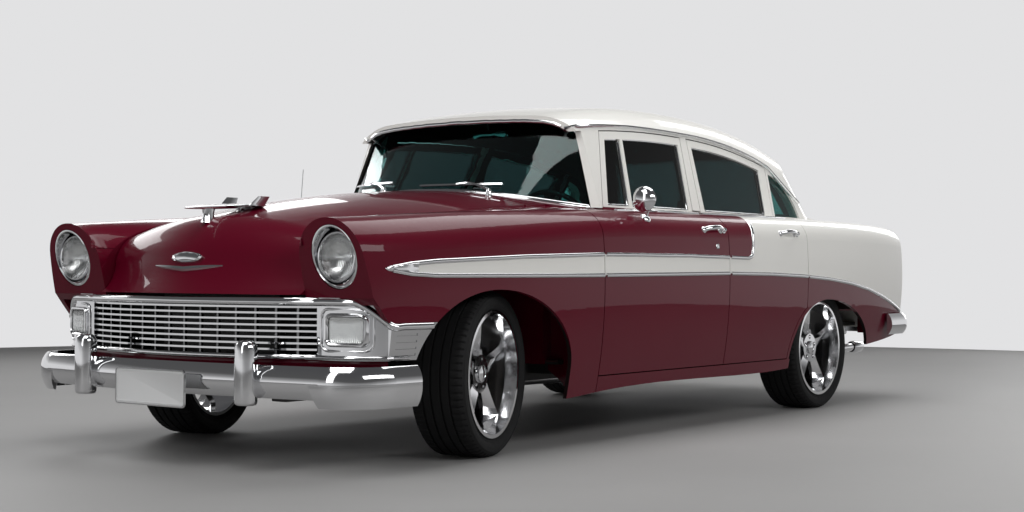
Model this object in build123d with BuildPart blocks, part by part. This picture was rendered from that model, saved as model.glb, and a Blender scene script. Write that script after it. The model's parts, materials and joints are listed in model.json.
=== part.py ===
from build123d import *
import os
from math import cos, radians, sin, sqrt, tan

# Frame: X forward, Y to the car's left, Z up, in millimetres. The origin is on
# the ground, at the middle of the car's length.

# Wheels and axles
FRONT_AXLE_X = 1584
WHEELBASE = 2921
REAR_AXLE_X = FRONT_AXLE_X - WHEELBASE
WHEEL_Y = 740
TYRE_RADIUS = 320
TYRE_WIDTH = 225
RIM_RADIUS = 240
RIM_WALL = 14
RIM_DEPTH = 208
SPOKES = 5
HUB_RADIUS = 74
SPINDLE_RADIUS = 22
DRUM_RADIUS = 135
KINGPIN_Y = 640
KINGPIN_RADIUS = 14
STEER_AT_REST = 14
FIT = 0.3

# Panels
PANEL_GAP = 5
SKIN = 22
HINGE_Y = 937
HINGE_X_FRONT = 893
FRONT_DOOR_LENGTH = 1070
REAR_DOOR_LENGTH = 835
HINGE_X_REAR = HINGE_X_FRONT - FRONT_DOOR_LENGTH - PANEL_GAP
DOOR_BOTTOM_Z = 286
DOOR_INNER_Y = 716
FLOOR_Z = 348
FLOOR_HALF = 765

# Hood and boot lid
HOOD_REAR_X = 1045
HOOD_FRONT_HALF = 546
HOOD_REAR_HALF = 622
LID_FRONT_X = -1740
LID_HALF = 598
LID_BOTTOM_Z = 560
TAIL_X = -2380

# Chassis
RAIL_Y = 388
RAIL_WIDTH = 74
RAIL_TOP = 330
RAIL_HEIGHT = 95
RAIL_FRONT_X = 2250
RAIL_REAR_X = -2250

os.makedirs("parts", exist_ok=True)


def across(x):
    """Sketch plane at one station along the car: local x is Y, local y is Z."""
    return Plane(origin=(x, 0, 0), x_dir=(0, 1, 0), z_dir=(1, 0, 0))


def along(y):
    """Sketch plane at one distance from the centreline: local x is X, local y is Z."""
    return Plane.XZ.offset(-y)


def save(name, part):
    part.label = name
    export_step(part, f"parts/{name}.step")


def save_pair(name, part):
    """Writes a left-hand piece and its mirror image."""
    save(f"left_{name}", part)
    save(f"right_{name}", mirror(part, about=Plane.XZ))


def side_block(draw, y_low=480, y_high=980):
    """A block across the car's left side, with the outline that draw gives."""
    with BuildPart() as block:
        with BuildSketch(along(y_low)):
            with BuildLine():
                draw()
            make_face()
        extrude(amount=y_low - y_high)
    return block.part


def side_polygon(*points, y_low=480, y_high=980):
    return side_block(lambda: Polyline(*points, close=True), y_low, y_high)


# The flank of the body, one surface from headlamp to tail, from which panels are cut.
# x, bottom z, sill y, side y, shoulder radius, crest z, inner y, inner z
FLANK_STATIONS = (
    (2352, 398, 842, 858, 118, 903, 560, 650),
    (2150, 398, 868, 888, 126, 914, 548, 846),
    (1850, 330, 880, 910, 132, 934, 556, 912),
    (1450, 215, 885, 926, 130, 957, 572, 962),
    (893, 215, 885, 931, 118, 980, 600, 1003),
    (-50, 228, 885, 933, 112, 992, 620, 1008),
    (-976, 240, 885, 931, 110, 1000, 620, 1012),
    (-1600, 300, 880, 924, 112, 1002, 560, 1008),
    (-2100, 340, 866, 903, 112, 995, 560, 975),
    (TAIL_X, 370, 838, 874, 112, 985, 560, 935),
)
FLANK_WIDE_Z = 700
NOSE_RAKE = 14
FLANK_INNER_Y = 500
FLANK_LEAN = 8

with BuildPart() as flank:
    for x, z_low, y_sill, y_side, r, z_crest, y_in, z_in in FLANK_STATIONS:
        with BuildSketch(across(x)):
            with BuildLine():
                low = Line((FLANK_INNER_Y, z_low), (y_sill, z_low))
                side = ThreePointArc(
                    low @ 1, (y_side, FLANK_WIDE_Z), (y_side - FLANK_LEAN, z_crest - r)
                )
                shoulder = TangentArc(
                    side @ 1, (y_side - FLANK_LEAN - r, z_crest), tangent=side % 1
                )
                crown = TangentArc(shoulder @ 1, (y_in, z_in), tangent=shoulder % 1)
                Polyline(crown @ 1, (FLANK_INNER_Y, z_in - SKIN), low @ 0)
            make_face()
    loft()
    nose_normal = (cos(radians(NOSE_RAKE)), 0, -sin(radians(NOSE_RAKE)))
    split(bisect_by=Plane(origin=(2352, 0, 903), z_dir=nose_normal), keep=Keep.BOTTOM)
flank_core = flank.part.moved(Location((-SKIN, -SKIN, -SKIN)))

# Hood and cowl, one surface across the car.
# y, lip x, lip z, face x, face z, crown x, crown z, middle x, middle z, rear z
HOOD_SECTIONS = (
    (-720, 2262, 630, 2198, 722, 2112, 815, 1600, 904, 1002),
    (-330, 2375, 630, 2298, 760, 2160, 902, 1600, 1002, 1060),
    (0, 2424, 631, 2345, 775, 2180, 930, 1600, 1028, 1076),
    (330, 2375, 630, 2298, 760, 2160, 902, 1600, 1002, 1060),
    (720, 2262, 630, 2198, 722, 2112, 815, 1600, 904, 1002),
)
COWL_REAR_X = 560

with BuildPart() as hood_form:
    for y, x_lip, z_lip, x_face, z_face, x_crown, z_crown, x_mid, z_mid, z_rear in HOOD_SECTIONS:
        with BuildSketch(along(y)):
            with BuildLine():
                top = ThreePointArc((COWL_REAR_X, z_rear), (x_mid, z_mid), (x_crown, z_crown))
                nose = TangentArc(top @ 1, (x_face, z_face), tangent=top % 1)
                face = TangentArc(nose @ 1, (x_lip, z_lip), tangent=nose % 1)
                Polyline(face @ 1, (COWL_REAR_X, z_lip), top @ 0)
            make_face()
    loft()
hood_core = hood_form.part.moved(Location((-SKIN, 0, -SKIN)))

# Boot lid and rear deck, likewise.
# y, front z, middle z, crown z, face x, face z, low x
LID_SECTIONS = (
    (-660, 1006, 994, 936, -2350, 815, -2374),
    (-330, 1020, 1012, 958, -2360, 826, -2364),
    (0, 1026, 1018, 966, -2364, 830, -2390),
    (330, 1020, 1012, 958, -2360, 826, -2364),
    (660, 1006, 994, 936, -2350, 815, -2374),
)
DECK_FRONT_X = -1180
LID_MIDDLE_X = -1950
LID_CROWN_X = -2230

with BuildPart() as lid_form:
    for y, z_front, z_mid, z_crown, x_face, z_face, x_low in LID_SECTIONS:
        with BuildSketch(along(y)):
            with BuildLine():
                top = ThreePointArc(
                    (DECK_FRONT_X, z_front), (LID_MIDDLE_X, z_mid), (LID_CROWN_X, z_crown)
                )
                nose = TangentArc(top @ 1, (x_face, z_face), tangent=top % 1)
                face = TangentArc(nose @ 1, (x_low, LID_BOTTOM_Z), tangent=nose % 1)
                Polyline(face @ 1, (DECK_FRONT_X, LID_BOTTOM_Z), top @ 0)
            make_face()
    loft()
lid_core = lid_form.part.moved(Location((SKIN, 0, -SKIN)))

# Cabin above the belt: two plan outlines joined by straight lines.
# z, side y, windscreen corner x, windscreen centre x, side's rear end x, rear corner radius
CABIN_PLANS = (
    (990, 745.4, 643.5, 1059, -1359, 228),
    (1400, 604.5, 621, 673, -1186, 146),
)
REAR_CORNER_TURN = 75
BELT_Z = 1000
BELT_Y = 742


def cabin_form(inset):
    """The cabin's outer form, or that form shrunk by a wall or glass depth."""
    turn = radians(REAR_CORNER_TURN)
    with BuildPart() as cabin:
        for z, y_side, x_corner, x_centre, x_end, r_corner in CABIN_PLANS:
            bow = x_centre - x_corner
            r_front = (y_side**2 + bow**2) / (2 * bow)
            r_inner = r_front - inset
            y = y_side - inset
            x_front = x_centre - r_front + sqrt(r_inner**2 - y**2)
            r = r_corner - inset
            corner_end = (x_end - r * sin(turn), y - r * (1 - cos(turn)))
            x_rear = corner_end[0] - corner_end[1] * tan(radians(90 - REAR_CORNER_TURN) / 2)
            with BuildSketch(Plane.XY.offset(z)):
                with BuildLine():
                    ThreePointArc((x_front, -y), (x_centre - inset, 0), (x_front, y))
                    left = Line((x_front, y), (x_end, y))
                    corner = TangentArc(left @ 1, corner_end, tangent=left % 1)
                    ThreePointArc(corner @ 1, (x_rear, 0), (corner_end[0], -corner_end[1]))
                    right = Line((x_front, -y), (x_end, -y))
                    TangentArc(right @ 1, (corner_end[0], -corner_end[1]), tangent=right % 1)
                make_face()
        loft(ruled=True)
    return cabin.part


FRAME_DEPTH = 34
PILLAR_DEPTH = 60
GLASS_SETBACK = 12
GLASS = 6
cabin = cabin_form(0)
frame_skin = cabin - cabin_form(FRAME_DEPTH)
pillar_skin = cabin - cabin_form(PILLAR_DEPTH)
glass_skin = cabin_form(GLASS_SETBACK) - cabin_form(GLASS_SETBACK + GLASS)

# Roof dome: x, rail y, rail z, shoulder z, crown z
ROOF_STATIONS = (
    (1070, 1236, 1292, 1310),
    (734, 1334, 1405, 1423),
    (400, 1364, 1468, 1488),
    (0, 1375, 1501, 1521),
    (-378, 1374, 1505, 1525),
    (-844, 1330, 1480, 1500),
    (-1150, 1256, 1432, 1452),
    (-1330, 1192, 1386, 1405),
    (-1470, 1130, 1343, 1360),
    (-1700, 1040, 1245, 1262),
)
ROOF_SHOULDER_Y = 430
ROOF_SHEET = 30
DOME_FOOT_Y = 800
SIDE_LEAN = (745.4 - 604.5) / 410

with BuildPart() as dome:
    for x, z_rail, z_shoulder, z_crown in ROOF_STATIONS:
        y_rail = BELT_Y - SIDE_LEAN * (z_rail - BELT_Z)
        with BuildSketch(across(x)):
            with BuildLine():
                crown = ThreePointArc(
                    (-ROOF_SHOULDER_Y, z_shoulder), (0, z_crown), (ROOF_SHOULDER_Y, z_shoulder)
                )
                left = TangentArc(crown @ 1, (y_rail, z_rail), tangent=crown % 1)
                right = TangentArc(crown @ 0, (-y_rail, z_rail), tangent=(crown % 0) * -1)
                Polyline(left @ 1, (DOME_FOOT_Y, 940), (-DOME_FOOT_Y, 940), right @ 1)
            make_face()
    loft()
dome_core = dome.part.moved(Location((0, 0, -ROOF_SHEET)))


def rail_line(drop):
    """The line of the door tops, lowered by a margin, closed below."""
    front = ThreePointArc((760, 1326 - drop), (150, 1374 - drop), (-480, 1366 - drop))
    middle = TangentArc(front @ 1, (-1130, 1262 - drop), tangent=front % 1)
    rear = TangentArc(middle @ 1, (-1345 + drop, 990), tangent=middle % 1)
    Polyline(rear @ 1, (-1345 + drop, 900), (760, 900), front @ 0)


# Window lines on the side: station at the belt and 340 mm above it
RISE = 340


def lean_x(foot_x, head_x, z):
    return foot_x + (head_x - foot_x) * (z - BELT_Z) / RISE


def lean_band(front, rear, z_low=900, z_high=1450):
    """A block between two leaning lines, each given as foot x and head x."""
    return side_polygon(
        (lean_x(*front, z_low), z_low),
        (lean_x(*front, z_high), z_high),
        (lean_x(*rear, z_high), z_high),
        (lean_x(*rear, z_low), z_low),
    )


# Each line is x at the belt, x at the belt plus RISE
DOOR_FRONT_LINE = (622, 480)
VENT_FRONT_LINE = (582, 440)
VENT_BAR_FRONT = (397, 312)
VENT_BAR_WIDTH = 22
B_POST_FRONT = (-165, -245)
FRONT_GLASS_REAR = (-134, -214)
B_POST_REAR = (-236, -302)
REAR_FRAME_FRONT = (B_POST_REAR[0] - PANEL_GAP, B_POST_REAR[1] - PANEL_GAP)
REAR_GLASS_FRONT = (-282, -340)
REAR_GLASS_REAR = (-921, -1022)
QUARTER_GLASS_FRONT = (-1020, -1117)


def hinge_cut(hinge_x, length):
    """The cylinder that a door's rear edge sweeps, about its hinge."""
    with BuildPart() as sweep_form:
        with BuildSketch(Plane.XY):
            with Locations((hinge_x, HINGE_Y)):
                Circle(length)
        extrude(amount=1200)
    return sweep_form.part


def stile_plane(hinge_x, length, lean, gap=0):
    """The rear face of a door's window frame, square to the line from the hinge."""
    dy = HINGE_Y - BELT_Y
    dx = sqrt(length**2 - dy**2)
    radial = Vector(-dx, -dy, 0).normalized()
    tangent = Vector(-dy, dx, 0).normalized()
    up_stile = Vector(-lean, -SIDE_LEAN * RISE, RISE).normalized()
    normal = tangent.cross(up_stile).normalized()
    if normal.dot(radial) < 0:
        normal = normal * -1
    foot = Vector(hinge_x - dx, BELT_Y, BELT_Z) + normal * gap
    return Plane(origin=foot, z_dir=normal)


def door_section():
    """The doors' section across the car, open to the outside."""
    with BuildPart() as block:
        with BuildSketch(across(1200)):
            with BuildLine():
                Polyline(
                    (DOOR_INNER_Y, 1100),
                    (DOOR_INNER_Y, 930),
                    (770, 700),
                    (795, DOOR_BOTTOM_Z),
                    (1000, DOOR_BOTTOM_Z),
                    (1000, 1100),
                    close=True,
                )
            make_face()
        extrude(amount=-2600)
    return block.part


door_shell = flank.part & door_section()


def arch_line(x_front, z_front, x_top, z_top, x_rear, z_rear, grow=0):
    """Outline of a wheel opening, closed below the body."""
    front = EllipticalCenterArc(
        (x_top, z_front), x_front - x_top + grow, z_top - z_front + grow, 0, arc_size=90
    )
    rear = EllipticalCenterArc(
        (x_top, z_rear), x_top - x_rear + grow, z_top - z_rear + grow, 90, arc_size=90
    )
    if z_front != z_rear:
        Line(front @ 1, rear @ 0)
    Polyline(rear @ 1, (x_rear - grow, 0), (x_front + grow, 0), front @ 0)


FRONT_ARCH = (2062, 330, 1610, 648, 1112, 330)
REAR_ARCH = (-868, 270, -1270, 580, -1875, 270)
ARCH_LIP = 28

# Front fender
LAMP_Y = 720
LAMP_Z = 765
LAMP_RADIUS = 97
LAMP_HOLE_Y = 107
LAMP_HOLE_Z = 115
LAMP_X = 2292
BEZEL_SETBACK = 5
PARK_X = 2262
POD_WALL = 16

# The grille surround takes over from the fender below this line
SURROUND_LOW_Z = 398
SURROUND_TOP_Z = 620
WING_TOP_Z = 532
WING_BEND_X = (2205, 2280)


def surround_line(drop):
    """Side outline of the surround's end, its top lowered by a margin."""
    Polyline(
        (1900, 300), (1900, WING_TOP_Z - drop), (WING_BEND_X[0], WING_TOP_Z - drop),
        (WING_BEND_X[1], SURROUND_TOP_Z - drop), (2460, SURROUND_TOP_Z - drop), (2460, 300),
        close=True,
    )


nose_block = side_block(lambda: surround_line(0))


def hood_edge(x):
    """Where the fender's inner edge stands beside the hood."""
    share = (x - HOOD_REAR_X) / (2300 - HOOD_REAR_X)
    return HOOD_REAR_HALF + PANEL_GAP + share * (HOOD_FRONT_HALF - HOOD_REAR_HALF)


with BuildPart() as fender:
    add(flank.part)
    add(flank_core, mode=Mode.SUBTRACT)
    with BuildSketch(Plane.XY):
        with BuildLine():
            Polyline(
                (HINGE_X_FRONT + PANEL_GAP, HOOD_REAR_HALF + PANEL_GAP),
                (HOOD_REAR_X, HOOD_REAR_HALF + PANEL_GAP),
                (2300, HOOD_FRONT_HALF + PANEL_GAP),
                (2400, HOOD_FRONT_HALF + PANEL_GAP),
                (2400, 1000),
                (HINGE_X_FRONT + PANEL_GAP, 1000),
                close=True,
            )
        make_face()
    extrude(amount=1200, mode=Mode.INTERSECT)
    with BuildSketch(Plane.XY.offset(SURROUND_TOP_Z)):
        with BuildLine():
            Polyline(
                (1900, hood_edge(1900)), (2300, hood_edge(2300)), (2400, hood_edge(2300)),
                (2400, hood_edge(2300) + POD_WALL), (2300, hood_edge(2300) + POD_WALL),
                (1900, hood_edge(1900) + POD_WALL), close=True,
            )
        make_face()
    pod_wall = extrude(amount=400, mode=Mode.PRIVATE)
    add(pod_wall & flank.part)
    add(side_block(lambda: arch_line(*FRONT_ARCH)), mode=Mode.SUBTRACT)
    add(nose_block, mode=Mode.SUBTRACT)
    with BuildSketch(across(2200)):
        with Locations((LAMP_Y, LAMP_Z)):
            Ellipse(LAMP_HOLE_Y, LAMP_HOLE_Z)
    extrude(amount=300, mode=Mode.SUBTRACT)
save_pair("front_fender", fender.part)

# Doors
front_sweep = hinge_cut(HINGE_X_FRONT, FRONT_DOOR_LENGTH)
rear_sweep = hinge_cut(HINGE_X_REAR, REAR_DOOR_LENGTH)
FRAME_FOOT_Z = 940
REVEAL_Z = 1012
FRAME_HEAD = 36
under_rail = side_block(lambda: rail_line(PANEL_GAP))
glass_rail = side_block(lambda: rail_line(PANEL_GAP + FRAME_HEAD))
above_belt = side_polygon((1000, REVEAL_Z), (1000, 1500), (-1500, 1500), (-1500, REVEAL_Z))
above_foot = side_polygon((1000, FRAME_FOOT_Z), (1000, 1500), (-1500, 1500), (-1500, FRAME_FOOT_Z))

front_door_opening = glass_rail & above_belt & lean_band(VENT_FRONT_LINE, FRONT_GLASS_REAR)
vent_bar = lean_band(
    VENT_BAR_FRONT, (VENT_BAR_FRONT[0] - VENT_BAR_WIDTH, VENT_BAR_FRONT[1] - VENT_BAR_WIDTH)
)
rear_door_opening = glass_rail & above_belt & lean_band(REAR_GLASS_FRONT, REAR_GLASS_REAR)

with BuildPart() as front_frame:
    add(frame_skin & under_rail & above_foot & lean_band(DOOR_FRONT_LINE, (-300, -400)))
    add(front_door_opening - vent_bar, mode=Mode.SUBTRACT)
    split(bisect_by=stile_plane(HINGE_X_FRONT, FRONT_DOOR_LENGTH, 80), keep=Keep.BOTTOM)

with BuildPart() as front_door:
    add(door_shell & front_sweep & side_polygon(
        (HINGE_X_FRONT, 200), (HINGE_X_FRONT, 1100), (-400, 1100), (-400, 200)
    ))
    add(front_frame.part)
save_pair("front_door", front_door.part)

with BuildPart() as rear_frame:
    add(frame_skin & under_rail & above_foot & lean_band(REAR_FRAME_FRONT, (-1200, -1300)))
    add(rear_door_opening, mode=Mode.SUBTRACT)
    split(bisect_by=stile_plane(HINGE_X_REAR, REAR_DOOR_LENGTH, 97), keep=Keep.BOTTOM)

with BuildPart() as rear_door:
    add(door_shell & rear_sweep & side_polygon(
        (HINGE_X_REAR, 200), (HINGE_X_REAR, 1100), (-1300, 1100), (-1300, 200)
    ))
    add(side_block(lambda: arch_line(*REAR_ARCH, grow=ARCH_LIP)), mode=Mode.SUBTRACT)
    add(rear_frame.part)
save_pair("rear_door", rear_door.part)

front_door_glass = glass_skin & (front_door_opening - vent_bar)
rear_door_glass = glass_skin & rear_door_opening
save_pair("front_door_glass", front_door_glass)
save_pair("rear_door_glass", rear_door_glass)

# Body side: sill, centre pillar, quarter panel and rear wheelhouse
SILL_INNER_Y = 740
WHEELHOUSE_RADIUS = 352
WHEELHOUSE_Y = 600
POST_INNER_Y = 640
SILL_FRONT_X = HINGE_X_FRONT
rear_sweep_gap = hinge_cut(HINGE_X_REAR, REAR_DOOR_LENGTH + PANEL_GAP)
rear_door_room = rear_sweep_gap - side_block(
    lambda: arch_line(*REAR_ARCH, grow=ARCH_LIP - PANEL_GAP)
)
quarter_opening = side_block(lambda: rail_line(34)) & above_belt & lean_band(
    QUARTER_GLASS_FRONT, (-1400, -1400)
)
quarter_pane = glass_skin & quarter_opening

with BuildPart() as quarter:
    add(flank.part)
    add(flank_core, mode=Mode.SUBTRACT)
    add(rear_door_room, mode=Mode.SUBTRACT)
    with BuildSketch(Plane.XY):
        with BuildLine():
            Polyline(
                (-700, LID_HALF + PANEL_GAP),
                (TAIL_X, LID_HALF + PANEL_GAP),
                (TAIL_X, 1000),
                (-700, 1000),
                close=True,
            )
        make_face()
    extrude(amount=1200, mode=Mode.INTERSECT)
    add(flank.part & Box(
        SKIN, 400, 1200, align=(Align.MIN, Align.MIN, Align.MIN), mode=Mode.PRIVATE
    ).moved(Location((TAIL_X, LID_HALF + PANEL_GAP, 0))))
    # The wall that closes the quarter beside the boot lid
    add(flank.part & Box(
        LID_FRONT_X - PANEL_GAP - TAIL_X, POD_WALL, 700,
        align=(Align.MIN, Align.MIN, Align.MIN), mode=Mode.PRIVATE,
    ).moved(Location((TAIL_X, LID_HALF + PANEL_GAP, LID_BOTTOM_Z))))

with BuildPart() as wheelhouse:
    with BuildSketch(along(WHEELHOUSE_Y)):
        with Locations((REAR_AXLE_X, TYRE_RADIUS)):
            Circle(WHEELHOUSE_RADIUS + 12)
            Circle(WHEELHOUSE_RADIUS, mode=Mode.SUBTRACT)
    extrude(amount=-400)
    with BuildSketch(along(WHEELHOUSE_Y - 12)):
        with Locations((REAR_AXLE_X, TYRE_RADIUS)):
            Circle(WHEELHOUSE_RADIUS + 12)
    extrude(amount=-12)
    split(bisect_by=Plane.XY.offset(440), keep=Keep.TOP)

with BuildPart() as centre_post:
    with BuildSketch(Plane.XY.offset(280)):
        with Locations((-203, 675)):
            Rectangle(90, 60)
    with BuildSketch(Plane.XY.offset(1060)):
        with Locations((-209, 675)):
            Rectangle(66, 60)
    loft()

with BuildPart() as sill:
    add(flank.part)
    with BuildSketch(along(SILL_INNER_Y)):
        with BuildLine():
            Polyline(
                (SILL_FRONT_X, 180),
                (SILL_FRONT_X, DOOR_BOTTOM_Z - PANEL_GAP),
                (-880, DOOR_BOTTOM_Z - PANEL_GAP),
                (-880, 180),
                close=True,
            )
        make_face()
    extrude(amount=-250, mode=Mode.INTERSECT)
    with BuildSketch(across(-880)):
        with BuildLine():
            Polyline(
                (POST_INNER_Y, 300), (POST_INNER_Y, RAIL_TOP), (FLOOR_HALF, RAIL_TOP),
                (FLOOR_HALF + 15, 230), (SILL_INNER_Y, 230), close=True,
            )
        make_face()
    extrude(amount=880 + SILL_FRONT_X)

with BuildPart() as body_side:
    add(quarter.part)
    add(wheelhouse.part & flank.part)
    add(side_block(lambda: arch_line(*REAR_ARCH), y_low=WHEELHOUSE_Y + 1), mode=Mode.SUBTRACT)
    add(sill.part)
    add(centre_post.part)
    add((pillar_skin & side_block(lambda: rail_line(0)) & lean_band(B_POST_FRONT, B_POST_REAR)
         & side_polygon((0, 1014), (0, 1500), (-500, 1500), (-500, 1014))))
    quarter_post = pillar_skin & side_block(lambda: rail_line(0)) & lean_band(
        (-900, -1000), (-1450, -1450)
    )
    rear_stile = stile_plane(HINGE_X_REAR, REAR_DOOR_LENGTH, 97, gap=PANEL_GAP)
    add(split(quarter_post, bisect_by=rear_stile, keep=Keep.TOP, mode=Mode.PRIVATE) - quarter_opening)
save_pair("body_side", body_side.part)

# Roof with its windscreen pillars and rear quarters
SCREEN_PILLAR = 26
BACKLIGHT_LOW_HALF = 560
BACKLIGHT_TOP_HALF = 440

with BuildPart() as screen_opening:
    with BuildSketch(across(560)):
        with BuildLine():
            Polyline(
                (-742 + SCREEN_PILLAR, 1000), (742 - SCREEN_PILLAR, 1000),
                (604 - SCREEN_PILLAR, 1400), (-604 + SCREEN_PILLAR, 1400), close=True,
            )
        make_face()
    extrude(amount=600)
with BuildPart() as back_opening:
    with BuildSketch(across(-1200)):
        with BuildLine():
            Polyline(
                (-BACKLIGHT_LOW_HALF, 1000), (BACKLIGHT_LOW_HALF, 1000),
                (BACKLIGHT_TOP_HALF, 1400), (-BACKLIGHT_TOP_HALF, 1400), close=True,
            )
        make_face()
    extrude(amount=-500)

with BuildPart() as side_trim:
    with BuildSketch(across(-1800)):
        with BuildLine():
            foot_y, foot_z = CABIN_PLANS[0][1], CABIN_PLANS[0][0]
            head_y, head_z = CABIN_PLANS[1][1], CABIN_PLANS[1][0]
            Polyline(
                (-foot_y, foot_z), (foot_y, foot_z), (head_y, head_z),
                (head_y, 1600), (-head_y, 1600), (-head_y, head_z), close=True,
            )
        make_face()
    extrude(amount=2900)

with BuildPart() as back_trim:
    add(cabin)
    with BuildSketch(Plane.XY.offset(990)):
        with Locations((100, 0)):
            Rectangle(1400, 1600)
    extrude(amount=700)
    with BuildSketch(Plane.XY.offset(1398)):
        with Locations((-400, 0)):
            Rectangle(2400, 1600)
    extrude(amount=300)

rail_block = side_block(lambda: rail_line(0))
rail_blocks = rail_block + mirror(rail_block, about=Plane.XZ)

with BuildPart() as roof_sheet:
    add(dome.part)
    add(dome_core, mode=Mode.SUBTRACT)
    with BuildSketch(Plane.XY.offset(900)):
        with BuildLine():
            front_edge = ThreePointArc((652, -700), (730, 0), (652, 700))
            rear_edge = ThreePointArc((-1335, 700), (-1425, 0), (-1335, -700))
            Line(front_edge @ 1, rear_edge @ 0)
            Line(rear_edge @ 1, front_edge @ 0)
        make_face()
    extrude(amount=700, mode=Mode.INTERSECT)
    add(side_trim.part, mode=Mode.INTERSECT)
    add(back_trim.part, mode=Mode.INTERSECT)
    add(rail_blocks, mode=Mode.SUBTRACT)
side_openings = side_block(lambda: rail_line(0)) & lean_band(
    (DOOR_FRONT_LINE[0] + PANEL_GAP, DOOR_FRONT_LINE[1] + PANEL_GAP), (-1450, -1450)
)
pillar_sheet = pillar_skin & dome.part
for opening in (
    screen_opening.part, back_opening.part, side_openings, mirror(side_openings, about=Plane.XZ)
):
    pillar_sheet = pillar_sheet - opening
roof_part = roof_sheet.part + pillar_sheet
door_room = flank.part.moved(Location((0, 0, PANEL_GAP))) & Box(
    2200, 800, 1400, align=(Align.MIN, Align.MIN, Align.MIN), mode=Mode.PRIVATE
).moved(Location((-990, 500, 0)))
for form in (hood_form.part, lid_form.part, flank.part, mirror(flank.part, about=Plane.XZ),
             door_room, mirror(door_room, about=Plane.XZ)):
    roof_part = roof_part - form
save("roof", roof_part)

windscreen = (glass_skin & screen_opening.part & dome_core) - hood_form.part
backlight = (glass_skin & back_opening.part & dome_core) - lid_form.part
save("fixed_glass", Compound([*windscreen.solids(), *backlight.solids(), *quarter_pane.solids(),
                              *mirror(quarter_pane, about=Plane.XZ).solids()]))

# Hood, cowl, boot lid, rear deck and tail panel
COWL_HALF = 700
FIREWALL_X = 1000

LEDGE_DEPTH = 9
LEDGE_REACH = 30


def ledge(core, edge_x, side, half):
    """A rebate that a lid's hinged edge rests on, just under the lid's sheet.

    side is 1 where the lid lies forward of the edge and -1 where it lies behind.
    """
    under = core.moved(Location((0, 0, -LEDGE_DEPTH)))
    reach = Box(LEDGE_REACH, 2 * half, 2000, mode=Mode.PRIVATE)
    rest = (core.moved(Location((0, 0, -FIT))) - under) & reach.moved(
        Location((edge_x + side * (LEDGE_REACH / 2 - 1), 0, 1000))
    )
    root = (core - under) & reach.moved(Location((edge_x - side * LEDGE_REACH / 2, 0, 1000)))
    return rest + root


with BuildPart() as hood:
    add(hood_form.part)
    add(hood_core, mode=Mode.SUBTRACT)
    with BuildSketch(Plane.XY):
        with BuildLine():
            Polyline(
                (HOOD_REAR_X, -HOOD_REAR_HALF), (2300, -HOOD_FRONT_HALF), (2500, -HOOD_FRONT_HALF),
                (2500, HOOD_FRONT_HALF), (2300, HOOD_FRONT_HALF), (HOOD_REAR_X, HOOD_REAR_HALF),
                close=True,
            )
        make_face()
    extrude(amount=1300, mode=Mode.INTERSECT)
save("hood", hood.part)

with BuildPart() as trunk_lid:
    add(lid_form.part)
    add(lid_core, mode=Mode.SUBTRACT)
    with BuildSketch(Plane.XY):
        with Locations(((LID_FRONT_X - 2500) / 2, 0)):
            Rectangle(2500 + LID_FRONT_X, 2 * LID_HALF)
    extrude(amount=1300, mode=Mode.INTERSECT)
save("trunk_lid", trunk_lid.part)

with BuildPart() as rear_deck:
    add(lid_form.part)
    add(lid_core, mode=Mode.SUBTRACT)
    with BuildSketch(Plane.XY):
        with Locations(((LID_FRONT_X + PANEL_GAP + DECK_FRONT_X) / 2, 0)):
            Rectangle(DECK_FRONT_X - LID_FRONT_X - PANEL_GAP, 2 * (LID_HALF + PANEL_GAP))
    extrude(amount=1300, mode=Mode.INTERSECT)
    add(ledge(lid_core, LID_FRONT_X + PANEL_GAP, -1, LID_HALF - 60))
save("rear_deck", rear_deck.part)

TAIL_PANEL_LOW_Z = 402
with BuildPart() as tail_panel:
    with BuildSketch(Plane.XY.offset(TAIL_PANEL_LOW_Z)):
        with Locations((TAIL_X + SKIN / 2, 0)):
            Rectangle(SKIN, 2 * (LID_HALF + PANEL_GAP))
    extrude(amount=LID_BOTTOM_Z - PANEL_GAP - TAIL_PANEL_LOW_Z)
save("tail_panel", tail_panel.part)

# Chassis: two rails kicked up over the rear axle, with cross members
RAIL_KICK = 148
JACK_PAD_X = (900, -720)
JACK_PAD_DEPTH = 6
RAIL_TAIL_TOP = 412
RAIL_LOW = RAIL_TOP - RAIL_HEIGHT
REAR_KICK_TOP = RAIL_TOP + RAIL_KICK
FRONT_CROSS_X = FRONT_AXLE_X
SPRING_Y = 495
SPRING_FRONT_Z = 262
SPRING_REAR_Z = 342
BUMPER_Z = 323

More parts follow.
